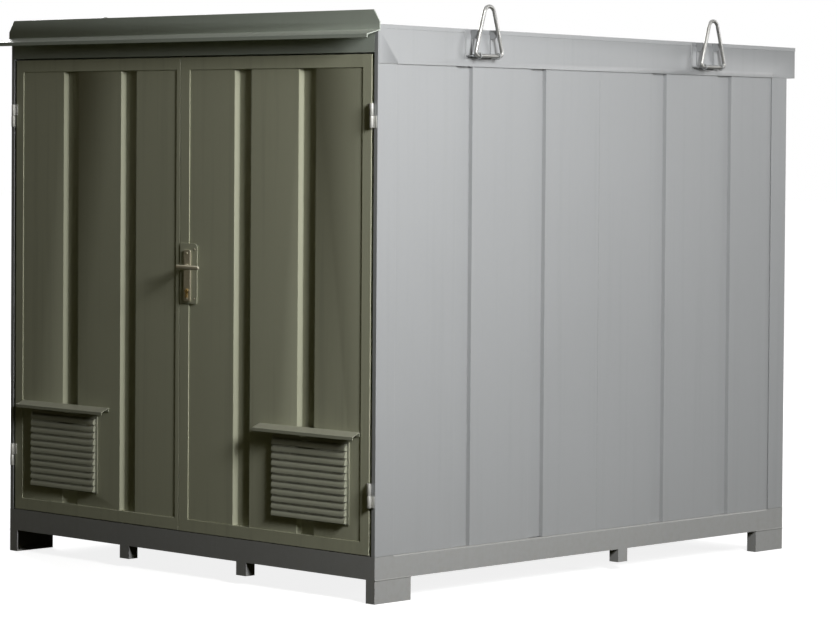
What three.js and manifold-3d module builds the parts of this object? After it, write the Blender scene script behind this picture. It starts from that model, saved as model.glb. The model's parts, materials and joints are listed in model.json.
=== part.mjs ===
// Walk-up sheet-steel kiosk for a distribution transformer.
// Millimetres, +Z up, origin on the ground under the middle of the outline.
// The double door faces -Y.
import * as THREE from 'three';
import { mergeVertices } from 'three/addons/utils/BufferGeometryUtils.js';
import Module from 'manifold-3d';

const wasm = await Module();
wasm.setup();

// ---------- driving dimensions ----------

const gap = 0.3;                       // left between pieces that touch

// housing
const housingWidth = 2005;
const housingDepth = 2269;
const roofHeightFront = 2000;
const roofFall = 25;
const rearOverhang = 50;
const skirtBottom = 82;
const skirtTop = 163;
const channelFlange = 52;
const channelThickness = 6;
const ledgeChamfer = 5;

// feet and lugs under the base
const footWidth = 43;
const frontFootLength = 178;
const rearFootLength = 166;
const footWall = 5;
const lugWidth = 52;
const lugDepth = 43;
const lugDrop = 49;
const frontLugOffset = 322;
const sideLugPlace = 173;

// corner posts
const postThickness = 4;
const postSideWidth = 92;
const postFrontWidth = 18;
const doorStopReach = 26.5;

// walls
const wallSheet = 2;
const wallRecess = 5;
const wallLap = 18;
const wallTopDrop = 35;                // below the roof's rear edge
const wallGroove = { opening: 83, slant: 5, depth: 13 };
const sideGroovesFromFront = [437.5, 824.5];
const sideGroovesFromRear = [767, 379.5];
const rearGroovesFromCorner = [351.5, 686.5];

// roof
const roofSheet = 3;
const roofLipHeight = 14;
const roofLipProud = 2;
const fasciaHeightFront = 135;
const fasciaHeightRear = 120;
const fasciaStripHeight = 25;
const fasciaStripProud = 3;
const roofFrontFlange = 20;

// canopy over the doors
const canopyThickness = 4;
const canopyOverhang = 11.5;           // past each side of the housing
const canopyRootDrop = 23;             // below the roof's front edge
const canopyRidgeRise = 50;            // above the roof's front edge
const canopyReach = 62;
const canopyFall = 16;
const canopyLip = 10;
const canopyCornerWidth = 30;
const canopyCornerHeight = 45;

// lintel over the doors
const lintelHeight = 97;
const lintelThickness = 3;
const lintelTopFlange = 34;
const lintelStopDrop = 23;

// doors
const doorClearance = 3;
const doorTopClearance = 6;
const doorDepth = 40;
const doorSheet = 3;
const doorEdgeClearance = 12.5;
const meetingLine = -18.5;
const hingeStile = 43;
const leftLockStile = 20;
const rightLockStile = 49;
const bottomRail = 44;
const topRail = 45;
const panelRecess = 3;
const doorGroove = { opening: 88, slant: 12, depth: 15 };
const panelSheet = 1.6;
const doorGrooveSpread = 167;
const leftGrooveShift = 6.5;           // off the middle of the door's opening
const rightGrooveShift = 2.5;

// louvres and their hoods
const louvreWidth = 394;
const louvreBottom = 262;
const bladePitch = 25.4;
const bladeCount = 11;
const bladeBulge = 13;
const bladeRise = 23;
const bladeSheet = 1.8;
const louvreFrame = 11;
const louvrePlate = 2.5;
const louvreSlot = 12;
const leftLouvreInset = 294;           // from the door's hinge edge to the middle
const rightLouvreInset = 296;
const hoodLength = 510;
const hoodRoot = 590;
const hoodReach = 37;
const hoodFall = 15;
const hoodLip = 12;
const hoodThickness = 2.5;
const leftHoodInset = 300;
const rightHoodInset = 304;

// hinges
const barrelRadius = 7.5;
const knuckleLength = 42;
const knuckleGap = 1;
const pinRadius = 4;
const pinLength = 34;
const pinClearance = 0.4;
const hingeAxisInset = 21.5;           // from the housing's side
const hingeTabThickness = 3;
const hingeTabReach = 19;
const lowerHingeHeight = 375;
const upperHingeDrop = 212;            // below the door's top

// lock on the right door
const lockBackset = 47;                // from the door's meeting edge
const lockPlateReach = 50;
const lockPlateBottom = 1000;
const lockPlateTop = 1220;
const lockPlateThickness = 2.5;
const lockPlateCorner = 18;
const escutcheonWidth = 34;
const escutcheonBottom = 1008;
const escutcheonTop = 1196;
const escutcheonThickness = 5;
const leverHeight = 1134;
const leverNeckRadius = 7.5;
const leverNeckLength = 36;
const leverGripLength = 112;
const leverGripDepth = 11;
const leverGripHeight = 19;
const spindleSide = 8;
const spindleHole = 7;
const cylinderHeight = 1046;
const cylinderRadius = 8.5;
const cylinderBlade = 10;
const cylinderTail = 24.5;
const cylinderProud = 4;
const plugRadius = 6;
const plugClearance = 0.4;
const plugLength = 30;
const keywayWidth = 2;
const keywayDepth = 3;
const lockCaseDepth = 25;
const lockCaseWall = 2.5;
const latchWidth = 12;
const latchHeight = 20;
const latchThrow = 12;
const latchClearance = 0.6;

// shoot bolts on the left door
const shootBoltSide = 9;
const shootBoltLength = 215;
const shootBoltEngage = 14;

// lifting rings
const frontRingInset = 509;            // from the housing's front
const rearRingInset = 512.5;           // from its rear
const ringBarRadius = 7.5;
const ringWidth = 150;
const ringHeight = 190;
const ringApexRadius = 26;
const ringCornerRadius = 13;
const ringStandOff = 44;
const ringPivotBelowRoof = 94;
const bracketPlate = 4;
const bracketBelowPivot = 9;
const bracketRoofClearance = 2;
const cheekThickness = 5;
const cheekSpine = 5;
const cheekEndPlay = 3.5;
const eyeWall = 2.5;
const lowerArmHeight = 12;
const upperArmBottom = 60;
const upperArmChamfer = 8;
const shelfThickness = 4.5;
const ringClearance = 1.5;

// floor plate
const floorThickness = 4;
const floorMargin = 28;
const cableHoleWidth = 220;
const switchboardHoleDepth = 300;
const switchboardHoleInset = 172.5;    // from the housing's right side to the middle
const supplyHoleDepth = 260;
const supplyHoleInset = 242.5;         // from the housing's left side to the middle
const supplyHoleRearInset = 294.5;

// transformer
const transformerInset = 822.5;        // from the housing's left side to the middle
const transformerY = 330;
const tankLength = 1080;
const tankWidth = 420;
const tankHeight = 830;
const tankWall = 5;
const skidHeight = 120;
const skidWidth = 80;
const skidLength = 640;
const skidSpread = 330;
const finDepth = 115;
const finThickness = 9;
const finPitch = 46;
const finHeight = 600;
const finRootHeight = 110;
const rimWidth = 34;
const lidThickness = 10;
const limbPitch = 300;
const limbWidth = 118;
const coreDepth = 150;
const windowHeight = 460;
const yokeHeight = 118;
const coreLift = 40;
const windingInner = 100;
const windingOuter = 142;
const windingHeight = 430;
const hvPitch = 260;
const hvOffset = 110;
const lvPitch = 150;
const lvOffset = -115;

// low-voltage switchboard
const boardHeight = 900;
const boardWidth = 600;
const boardDepth = 240;
const boardBottom = 620;
const boardY = -350;
const boardWall = 3;
const boardStandOff = 24;
const switchHubRadius = 30;
const switchHubDepth = 24;
const switchGripLength = 140;
const switchGripWidth = 26;
const switchGripDepth = 30;
const switchHeight = 1290;
const switchShaftRadius = 8;
const switchShaftLength = 40;

// ---------- values that follow ----------

const halfWidth = housingWidth / 2;
const halfDepth = housingDepth / 2;
const frontFace = -halfDepth;
const roofHeightRear = roofHeightFront - roofFall;
const wallTop = roofHeightRear - wallTopDrop;
const fasciaBottomFront = roofHeightFront - fasciaHeightFront;
const fasciaBottomRear = roofHeightRear - fasciaHeightRear;
const canopyRoot = roofHeightFront - canopyRootDrop;
const canopyRidge = roofHeightFront + canopyRidgeRise;
const canopyHalfLength = halfWidth + canopyOverhang;
const lintelBottom = roofHeightFront - lintelHeight;
const canopyBack = frontFace - gap;
const canopyFront = canopyBack - canopyThickness - canopyReach;
const rearEdge = halfDepth + rearOverhang;
const outlineShift = -(canopyFront + rearEdge) / 2;
const floorBottom = skirtTop + gap;
const floorTop = floorBottom + floorThickness;
const doorBottom = skirtTop + doorClearance;
const doorTop = lintelBottom - doorTopClearance;
const doorRear = frontFace + doorDepth;
const jambInner = halfWidth - postFrontWidth;
const doorOuterEdge = jambInner - doorEdgeClearance;
const lockCentre = meetingLine + doorClearance / 2 + lockBackset;
const lockPlateRight = lockCentre + lockPlateReach;
const hingeAxisOffset = halfWidth - hingeAxisInset;
const hingeHeights = [lowerHingeHeight, doorTop - upperHingeDrop];
const sideGrooves = [
  ...sideGroovesFromFront.map((inset) => -halfDepth + inset),
  ...sideGroovesFromRear.map((inset) => halfDepth - inset),
];
const rearGrooves = [
  ...rearGroovesFromCorner.map((inset) => -halfWidth + inset),
  ...rearGroovesFromCorner.map((inset) => halfWidth - inset).reverse(),
];
const ringPlaces = [-halfDepth + frontRingInset, halfDepth - rearRingInset];
const transformerX = transformerInset - halfWidth;
const switchboardCableHole = {
  x: halfWidth - switchboardHoleInset, y: boardY, width: cableHoleWidth, depth: switchboardHoleDepth,
};
const supplyCableHole = {
  x: supplyHoleInset - halfWidth, y: halfDepth - supplyHoleRearInset, width: cableHoleWidth, depth: supplyHoleDepth,
};
const panelFace = frontFace + panelRecess;
const hingeAxisY = frontFace - gap - barrelRadius;
const lockPlateFront = frontFace - gap - lockPlateThickness;
const escutcheonFront = lockPlateFront - gap - escutcheonThickness;
const lockCaseFront = frontFace + doorSheet + 0.5;
const doorStopFace = doorRear + 4;

const roofTop = (y) => {
  const slope = (roofHeightRear - roofHeightFront) / (rearEdge - frontFace);
  return roofHeightFront + slope * (y - frontFace);
};
const fasciaBottom = (y) => {
  const slope = (fasciaBottomRear - fasciaBottomFront) / (rearEdge - frontFace);
  return fasciaBottomFront + slope * (y - frontFace);
};

// ---------- materials ----------

const finish = (color, roughness, metalness) =>
  new THREE.MeshStandardMaterial({ color, roughness, metalness });
const greyPaint = finish(0xa5a8a8, 0.5, 0.0);
const basePaint = finish(0x9a9d9d, 0.55, 0.0);
const tankPaint = finish(0x7d8684, 0.45, 0.0);
const zinc = finish(0xc0c2c4, 0.35, 1.0);
const satinSteel = finish(0xb8b7b0, 0.3, 1.0);
const brass = finish(0xb7975a, 0.35, 1.0);
const coreSteel = finish(0x5d6166, 0.5, 0.8);
const enamelledCopper = finish(0x9c5a32, 0.4, 0.6);
const porcelain = finish(0x6a3b26, 0.2, 0.0);
const blackPlastic = finish(0x1c1c1c, 0.5, 0.0);
const chequerPlate = finish(0x85888a, 0.5, 0.7);

// ---------- shape tools ----------

function toSolid(geometry) {
  const bare = geometry.clone();
  bare.deleteAttribute('normal');
  bare.deleteAttribute('uv');
  const merged = mergeVertices(bare, 1e-4);
  return new wasm.Manifold(new wasm.Mesh({
    numProp: 3,
    vertProperties: Float32Array.from(merged.attributes.position.array),
    triVerts: Uint32Array.from(merged.index.array),
  }));
}

function toGeometry(solid) {
  const mesh = solid.getMesh();
  const geometry = new THREE.BufferGeometry();
  geometry.setAttribute('position', new THREE.BufferAttribute(mesh.vertProperties, 3));
  geometry.setIndex(new THREE.BufferAttribute(mesh.triVerts, 1));
  return geometry;
}

const join = (...pieces) =>
  toGeometry(pieces.map(toSolid).reduce((whole, piece) => whole.add(piece)));

const cut = (piece, ...tools) =>
  toGeometry(tools.map(toSolid).reduce((rest, tool) => rest.subtract(tool), toSolid(piece)));

function block(x, y, z) {
  const size = [x, y, z].map(([a, b]) => Math.abs(b - a));
  const middle = [x, y, z].map(([a, b]) => (a + b) / 2);
  return new THREE.BoxGeometry(...size).translate(...middle);
}

// An outline swept along an axis. Its points are (y, z) along x, (x, z) along y
// and (x, y) along z.
const sweeps = {
  x: [[0, 1, 0], [0, 0, 1], [1, 0, 0], 1],
  y: [[1, 0, 0], [0, 0, 1], [0, -1, 0], -1],
  z: [[1, 0, 0], [0, 1, 0], [0, 0, 1], 1],
};

function sweep(outline, axis, [from, to]) {
  const [u, v, w, sign] = sweeps[axis];
  const shape = outline instanceof THREE.Shape ? outline
    : new THREE.Shape(outline.map(([a, b]) => new THREE.Vector2(a, b)));
  const geometry = new THREE.ExtrudeGeometry(shape, {
    depth: Math.abs(to - from),
    bevelEnabled: false,
    curveSegments: 5,
  });
  const turn = new THREE.Matrix4().makeBasis(
    new THREE.Vector3(...u), new THREE.Vector3(...v), new THREE.Vector3(...w));
  const start = sign > 0 ? Math.min(from, to) : Math.max(from, to);
  const offset = { x: [start, 0, 0], y: [0, start, 0], z: [0, 0, start] }[axis];
  return geometry.applyMatrix4(turn).translate(...offset);
}

function circle(u, v, radius, sides = 16) {
  return Array.from({ length: sides }, (_, i) => {
    const angle = (2 * Math.PI * (i + 0.5)) / sides;
    return [u + radius * Math.cos(angle), v + radius * Math.sin(angle)];
  });
}

const rod = (u, v, radius, axis, span, sides) => sweep(circle(u, v, radius, sides), axis, span);

function turned(profile, sides = 16) {
  const points = profile.map(([r, z]) => new THREE.Vector2(r, z));
  return new THREE.LatheGeometry(points, sides).rotateX(Math.PI / 2);
}

function roundedRectangle([u0, u1], [v0, v1], radii) {
  const [bottomLeft, bottomRight, topRight, topLeft] = radii;
  const shape = new THREE.Shape();
  shape.moveTo(u0 + bottomLeft, v0);
  shape.lineTo(u1 - bottomRight, v0);
  if (bottomRight) shape.absarc(u1 - bottomRight, v0 + bottomRight, bottomRight, -Math.PI / 2, 0, false);
  shape.lineTo(u1, v1 - topRight);
  if (topRight) shape.absarc(u1 - topRight, v1 - topRight, topRight, 0, Math.PI / 2, false);
  shape.lineTo(u0 + topLeft, v1);
  if (topLeft) shape.absarc(u0 + topLeft, v1 - topLeft, topLeft, Math.PI / 2, Math.PI, false);
  shape.lineTo(u0, v0 + bottomLeft);
  if (bottomLeft) shape.absarc(u0 + bottomLeft, v0 + bottomLeft, bottomLeft, Math.PI, 1.5 * Math.PI, false);
  return shape;
}

// A sheet with trapezoid channels pressed into it: points (along, across).
function groovedSheet([start, end], face, inward, sheet, centres, { opening, slant, depth }) {
  const spread = Math.tan(Math.atan2(depth, slant) / 2);   // keeps the slants as thick as the rest
  const run = (offset) => {
    const level = face + inward * offset;
    const floor = level + inward * depth;
    const half = opening / 2 + spread * offset;
    const channel = (centre) => [[centre - half, level], [centre - half + slant, floor],
      [centre + half - slant, floor], [centre + half, level]];
    return [[start, level], ...centres.flatMap(channel), [end, level]];
  };
  return [...run(0), ...run(sheet).reverse()];
}

// ---------- assembly ----------

const transformerKiosk = new THREE.Group();
transformerKiosk.position.y = outlineShift;

function add(name, geometry, material, place = [0, 0, 0], parent = transformerKiosk) {
  const mesh = new THREE.Mesh(geometry, material);
  mesh.name = name;
  mesh.position.set(...place);
  parent.add(mesh);
  return mesh;
}

const sides = [['left', -1], ['right', 1]];

// ---------- base ----------

function foot(side, end) {
  const length = end < 0 ? frontFootLength : rearFootLength;
  const outerX = side * halfWidth;
  const innerX = side * (halfWidth - footWidth);
  const outerY = end * halfDepth;
  const innerY = end * (halfDepth - length);
  const body = block([outerX, innerX], [outerY, innerY], [0, skirtBottom + channelThickness]);
  const hollow = block(
    [outerX - side * footWall, innerX - side],
    [outerY - end * footWall, innerY + end * footWall],
    [footWall, skirtBottom + channelThickness + 1]);
  return cut(body, hollow);
}

function jackingLug(x, y, alongX) {
  const halfX = (alongX ? lugWidth : lugDepth) / 2;
  const halfY = (alongX ? lugDepth : lugWidth) / 2;
  return block([x - halfX, x + halfX], [y - halfY, y + halfY], [skirtBottom - lugDrop, skirtBottom + 1]);
}

function baseFrame() {
  const height = [skirtBottom, skirtTop];
  const web = channelThickness;
  const inside = (margin) => [
    [-halfWidth + margin, halfWidth - margin],
    [-halfDepth + margin, halfDepth - margin],
  ];
  const ring = cut(
    block(...inside(0), height),
    block(...inside(channelFlange), [skirtBottom - 1, skirtTop + 1]),
    block(...inside(web), [skirtBottom + web, skirtTop - web]));
  const pieces = [ring];
  for (const [, side] of sides) {
    pieces.push(foot(side, -1), foot(side, 1));
    pieces.push(jackingLug(side * frontLugOffset, frontFace + lugDepth / 2, true));
    pieces.push(jackingLug(side * frontLugOffset, halfDepth - lugDepth / 2, true));
    pieces.push(jackingLug(side * (halfWidth - lugDepth / 2), sideLugPlace, false));
  }
  const sillReach = jambInner - doorStopReach - gap;
  const doorSill = block([-sillReach, sillReach],
    [doorStopFace, doorStopFace + postThickness], [skirtTop - 1, skirtTop + 22]);
  const welded = join(...pieces, doorSill);
  const chamfers = sides.map(([, side]) => sweep([
    [side * (halfWidth - ledgeChamfer), skirtTop + 0.5],
    [side * (halfWidth + 0.5), skirtTop + 0.5],
    [side * (halfWidth + 0.5), skirtTop - ledgeChamfer],
  ], 'y', [frontFace + postSideWidth, halfDepth - postSideWidth]));
  const boltHole = rod(shootBoltX, shootBoltY, shootBoltSide, 'z', [skirtTop - web - 1, skirtTop + 1]);
  return cut(welded, ...chamfers, boltHole);
}

// ---------- posts, lintel and walls ----------

function frontPost(side) {
  const t = postThickness;
  const outline = [
    [jambInner, frontFace],
    [halfWidth, frontFace],
    [halfWidth, frontFace + postSideWidth],
    [halfWidth - t, frontFace + postSideWidth],
    [halfWidth - t, frontFace + t],
    [jambInner + t, frontFace + t],
    [jambInner + t, doorStopFace + t],
    [jambInner - doorStopReach, doorStopFace + t],
    [jambInner - doorStopReach, doorStopFace],
    [jambInner, doorStopFace],
  ].map(([x, y]) => [side * x, y]);
  const whole = sweep(outline, 'z', [skirtTop + gap, canopyRoot - gap]);
  const underFascia = block(
    [side * (halfWidth - t - 1), side * (halfWidth + 1)],
    [frontFace + t, frontFace + postSideWidth + 1],
    [fasciaBottom(frontFace + postSideWidth) - gap, canopyRoot + 1]);
  return cut(whole, underFascia);
}

function rearPost(side) {
  const t = postThickness;
  const outline = [
    [halfWidth, halfDepth],
    [halfWidth, halfDepth - postSideWidth],
    [halfWidth - t, halfDepth - postSideWidth],
    [halfWidth - t, halfDepth - t],
    [halfWidth - postSideWidth, halfDepth - t],
    [halfWidth - postSideWidth, halfDepth],
  ].map(([x, y]) => [side * x, y]);
  return sweep(outline, 'z', [skirtTop + gap, fasciaBottom(halfDepth) - gap]);
}

function lintel() {
  const t = lintelThickness;
  const top = canopyRoot - gap;
  const stopRear = doorStopFace + t;
  const outline = [
    [frontFace, lintelBottom],
    [doorStopFace, lintelBottom],
    [doorStopFace, lintelBottom - lintelStopDrop],
    [stopRear, lintelBottom - lintelStopDrop],
    [stopRear, lintelBottom + t],
    [frontFace + t, lintelBottom + t],
    [frontFace + t, top - t],
    [frontFace + lintelTopFlange, top - t],
    [frontFace + lintelTopFlange, top],
    [frontFace, top],
  ];
  const reach = jambInner - doorStopReach - gap;
  const whole = sweep(outline, 'x', [-jambInner + gap, jambInner - gap]);
  const postRelief = sides.map(([, side]) => block(
    [side * reach, side * (jambInner + 1)],
    [doorStopFace - gap, stopRear + 3],
    [lintelBottom - lintelStopDrop - 1, top + 1]));
  const boltHole = rod(shootBoltX, shootBoltY, shootBoltSide, 'z', [lintelBottom - 1, lintelBottom + t + 1]);
  return cut(whole, ...postRelief, boltHole);
}

function sideWall(side) {
  const along = [frontFace + postSideWidth - wallLap, halfDepth - postSideWidth + wallLap];
  const outline = groovedSheet(along, halfWidth - wallRecess, -1, wallSheet, sideGrooves, wallGroove)
    .map(([y, x]) => [side * x, y]);
  return sweep(outline, 'z', [skirtTop + gap, wallTop]);
}

function rearWall() {
  const reach = halfWidth - postSideWidth + wallLap;
  const outline = groovedSheet([-reach, reach], halfDepth - wallRecess, -1, wallSheet, rearGrooves, wallGroove);
  return sweep(outline, 'z', [skirtTop + gap, wallTop]);
}

// ---------- roof and canopy ----------

// A plate in the plane of one side, between two sloping edges.
const sidePlate = (x, [y0, y1], low, high) =>
  sweep([[y0, low(y0)], [y1, low(y1)], [y1, high(y1)], [y0, high(y0)]], 'x', x);

function roof() {
  const lipLow = (y) => roofTop(y) - roofLipHeight;
  const underTop = (y) => roofTop(y) - roofSheet;
  const whole = [frontFace, rearEdge];
  const top = sidePlate([-halfWidth - roofLipProud, halfWidth + roofLipProud], whole, underTop, roofTop);
  const pieces = [top];
  for (const [, side] of sides) {
    const outer = side * halfWidth;
    const inner = side * (halfWidth - roofSheet);
    pieces.push(sidePlate([outer, inner], [frontFace + postThickness + gap, rearEdge], fasciaBottom, roofTop));
    pieces.push(sidePlate([outer + side * roofLipProud, inner], whole, lipLow, roofTop));
    const stripSpan = [frontFace + postSideWidth, halfDepth - postSideWidth];
    pieces.push(fasciaStrip(side, stripSpan));
  }
  pieces.push(block([-halfWidth, halfWidth], [rearEdge - roofSheet, rearEdge],
    [fasciaBottom(rearEdge), roofTop(rearEdge) - 1]));
  pieces.push(block([-halfWidth + 1, halfWidth - 1], [frontFace, frontFace + roofSheet],
    [roofHeightFront - roofFrontFlange, roofHeightFront - 1]));
  return join(...pieces);
}

// The foot of the fascia stands slightly proud between the posts.
function fasciaStrip(side, [y0, y1]) {
  const outer = side * (halfWidth - 0.5);
  const proud = side * (halfWidth + fasciaStripProud);
  const wedge = sweep([[outer, 0], [proud, 0], [outer, fasciaStripHeight]], 'y', [y0, y1]);
  const fall = Math.atan2(fasciaBottom(y1) - fasciaBottom(y0), y1 - y0);
  return wedge.translate(0, -y0, 0).rotateX(fall).translate(0, y0, fasciaBottom(y0));
}

function canopy() {
  const plateFront = canopyBack - canopyThickness;
  const t = canopyThickness;
  const profile = [
    [canopyBack, canopyRoot],
    [canopyBack, canopyRidge],
    [plateFront, canopyRidge],
    [plateFront, canopyRoot + t],
    [canopyFront, canopyRoot + t - canopyFall],
    [canopyFront, canopyRoot - canopyFall - canopyLip],
    [canopyFront + t, canopyRoot - canopyFall - canopyLip],
    [canopyFront + t, canopyRoot - canopyFall],
    [plateFront, canopyRoot],
  ];
  const whole = sweep(profile, 'x', [-canopyHalfLength, canopyHalfLength]);
  const corners = sides.map(([, side]) => sweep([
    [side * (canopyHalfLength + 1), canopyRidge + 1],
    [side * (canopyHalfLength - canopyCornerWidth), canopyRidge + 1],
    [side * (canopyHalfLength - canopyCornerWidth), canopyRidge],
    [side * (canopyHalfLength + 1), canopyRidge - canopyCornerHeight],
  ], 'y', [plateFront - 1, canopyBack + 1]));
  return cut(whole, ...corners);
}

// ---------- lifting rings ----------

// A triangle with rounded corners, standing on its base bar, in the y-z plane.
class RingLine extends THREE.Curve {
  constructor() {
    super();
    const r = ringBarRadius;
    const halfBase = ringWidth / 2 - r;
    const rise = ringHeight - 2 * r;
    const apex = ringApexRadius;
    const corner = ringCornerRadius;
    const apexZ = rise - apex;
    const cornerY = halfBase - corner;
    const run = Math.hypot(cornerY, apexZ - corner);
    const lean = Math.atan2(cornerY, apexZ - corner) - Math.asin((apex - corner) / run);
    this.stretches = [
      { y: cornerY, z: corner, r: corner, from: -Math.PI / 2, to: lean, steps: 4 },
      { y: 0, z: apexZ, r: apex, from: lean, to: Math.PI - lean, steps: 6 },
      { y: -cornerY, z: corner, r: corner, from: Math.PI - lean, to: 1.5 * Math.PI, steps: 4 },
    ];
    this.line = [new THREE.Vector3(0, 0, 0)];
    for (const { y, z, r: radius, from, to, steps } of this.stretches) {
      for (let i = 0; i <= steps; i += 1) {
        const angle = from + ((to - from) * i) / steps;
        this.line.push(new THREE.Vector3(0, y + radius * Math.cos(angle), z + radius * Math.sin(angle)));
      }
    }
    this.line.push(new THREE.Vector3(0, 0, 0));
  }

  get steps() {
    return this.line.length - 1;
  }

  getPoint(t, target = new THREE.Vector3()) {
    const place = t * this.steps;
    const i = Math.min(Math.floor(place), this.steps - 1);
    return target.lerpVectors(this.line[i], this.line[i + 1], place - i);
  }

  getTangent(t, target = new THREE.Vector3()) {
    const i = Math.round(t * this.steps);
    const before = this.line[Math.max(i - 1, 0)];
    const after = this.line[Math.min(i + 1, this.steps)];
    return target.subVectors(after, before).normalize();
  }

  getUtoTmapping(u) {
    return u;
  }
}

function liftingRing() {
  const path = new RingLine();
  const section = new THREE.Shape(circle(0, 0, ringBarRadius, 8).map(([a, b]) => new THREE.Vector2(a, b)));
  const tube = new THREE.ExtrudeGeometry(section, { steps: path.steps, extrudePath: path, bevelEnabled: false });
  // only the tube's wall is kept: its two ends meet, as the welded bar's do
  const wall = tube.groups.find((group) => group.materialIndex === 1);
  const position = tube.attributes.position.array.slice(wall.start * 3, (wall.start + wall.count) * 3);
  const closed = new THREE.BufferGeometry();
  closed.setAttribute('position', new THREE.BufferAttribute(position, 3));
  return mergeVertices(closed, 1e-2);
}

function ringBracket(side) {
  const half = ringWidth / 2;
  const low = -bracketBelowPivot;
  const plateTop = ringPivotBelowRoof - roofLipHeight - bracketRoofClearance;
  const armTop = ringPivotBelowRoof - bracketRoofClearance;
  const plateFront = gap + bracketPlate;
  const spineFront = plateFront + cheekSpine;
  const noseBack = roofLipProud + 1;
  const armReach = ringStandOff - ringBarRadius - ringClearance;
  const eyeHole = ringBarRadius + ringClearance;
  // the cheeks stand just inside the ring's bent corners
  const cheekOuter = half - ringBarRadius - ringCornerRadius - cheekEndPlay;
  const cheek = (y) => [
    sweep([
      [side * gap, low], [side * spineFront, low], [side * spineFront, upperArmBottom],
      [side * (armReach - upperArmChamfer), upperArmBottom], [side * armReach, upperArmBottom + upperArmChamfer],
      [side * armReach, armTop], [side * noseBack, armTop], [side * noseBack, plateTop], [side * gap, plateTop],
    ], 'y', [y, y + cheekThickness]),
    block([side * plateFront, side * ringStandOff], [y, y + cheekThickness], [-lowerArmHeight / 2, lowerArmHeight / 2]),
    rod(side * ringStandOff, 0, eyeHole + eyeWall, 'y', [y, y + cheekThickness]),
  ];
  const plate = block([side * gap, side * plateFront], [-half, half], [low, plateTop]);
  const shelf = block([side * plateFront, side * (armReach - 1)], [-half, half],
    [-shelfThickness / 2, shelfThickness / 2]);
  const whole = join(plate, shelf, ...cheek(-cheekOuter), ...cheek(cheekOuter - cheekThickness));
  return cut(whole, rod(side * ringStandOff, 0, eyeHole, 'y', [-half, half]));
}

// ---------- doors ----------

const doors = {
  left: {
    x: [-doorOuterEdge, meetingLine - doorClearance / 2],
    stiles: [hingeStile, leftLockStile],
    grooveShift: leftGrooveShift,
    louvre: -doorOuterEdge + leftLouvreInset,
    hood: -doorOuterEdge + leftHoodInset,
  },
  right: {
    x: [meetingLine + doorClearance / 2, doorOuterEdge],
    stiles: [rightLockStile, hingeStile],
    grooveShift: rightGrooveShift,
    louvre: doorOuterEdge - rightLouvreInset,
    hood: doorOuterEdge - rightHoodInset,
  },
};
const doorOpening = ({ x, stiles }) => ({
  x: [x[0] + stiles[0], x[1] - stiles[1]],
  z: [doorBottom + bottomRail, doorTop - topRail],
});
const shootBoltX = doors.left.x[1] - leftLockStile / 2;
const shootBoltY = frontFace + doorDepth * 0.7;

function doorFrame(door) {
  const t = doorSheet;
  const opening = doorOpening(door);
  const whole = block(door.x, [frontFace, doorRear], [doorBottom, doorTop]);
  const window = block(opening.x, [frontFace - 1, doorRear + 1], opening.z);
  const hollow = cut(
    block([door.x[0] + t, door.x[1] - t], [frontFace + t, doorRear + 1], [doorBottom + t, doorTop - t]),
    block([opening.x[0] - t, opening.x[1] + t], [frontFace, doorRear + 2], [opening.z[0] - t, opening.z[1] + t]));
  return cut(whole, window, hollow);
}

function doorPanel(door) {
  const opening = doorOpening(door);
  const span = [opening.x[0] + gap, opening.x[1] - gap];
  const middle = (opening.x[0] + opening.x[1]) / 2 + door.grooveShift;
  const grooves = [middle - doorGrooveSpread, middle + doorGrooveSpread];
  const outline = groovedSheet(span, panelFace, 1, panelSheet, grooves, doorGroove);
  const sheet = sweep(outline, 'z', [opening.z[0] + gap, opening.z[1] - gap]);
  const halfVent = louvreWidth / 2 - louvreFrame;
  const vent = block([door.louvre - halfVent, door.louvre + halfVent], [frontFace - 1, doorRear],
    [louvreBottom + louvreFrame, louvreTop - louvreFrame]);
  return cut(sheet, vent);
}

const louvreTop = louvreBottom + bladeCount * bladePitch + louvreFrame;

// One louvre blade: a quarter round, closed at the top and open underneath.
function louvreBlade(z, halfLength, face) {
  const turns = 3;
  const edge = (bulge, rise) => Array.from({ length: turns + 1 }, (_, i) => {
    const angle = (Math.PI / 2) * (i / turns);
    return [face - bulge * Math.cos(angle), z + rise * Math.sin(angle)];
  });
  const outer = edge(bladeBulge, bladeRise);
  const inner = edge(bladeBulge - bladeSheet, bladeRise - bladeSheet).reverse();
  return sweep([...outer, [face + 0.5, z + bladeRise], [face + 0.5, z + bladeRise - bladeSheet], ...inner],
    'x', [-halfLength, halfLength]);
}

function louvre() {
  const face = panelFace - gap - louvrePlate;
  const half = louvreWidth / 2;
  const bladeHalf = half - louvreFrame;
  const plate = block([-half, half], [face, face + louvrePlate], [louvreBottom, louvreTop]);
  const starts = Array.from({ length: bladeCount }, (_, i) => louvreBottom + louvreFrame / 2 + i * bladePitch);
  const slots = starts.map((z) => block([-bladeHalf, bladeHalf],
    [face - 1, face + louvrePlate + 1], [z + 3, z + 3 + louvreSlot]));
  const blades = starts.map((z) => louvreBlade(z, bladeHalf, face));
  return join(cut(plate, ...slots), ...blades);
}

function hood() {
  const t = hoodThickness;
  const back = panelFace - gap;
  const front = back - hoodReach;
  const profile = [
    [back, hoodRoot - 16],
    [back, hoodRoot],
    [front, hoodRoot - hoodFall],
    [front, hoodRoot - hoodFall - hoodLip],
    [front + t, hoodRoot - hoodFall - hoodLip],
    [front + t, hoodRoot - hoodFall - t * 0.8],
    [back - t, hoodRoot - t * 1.2],
    [back - t, hoodRoot - 16],
  ];
  return sweep(profile, 'x', [-hoodLength / 2, hoodLength / 2]);
}

// ---------- hinges ----------

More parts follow.
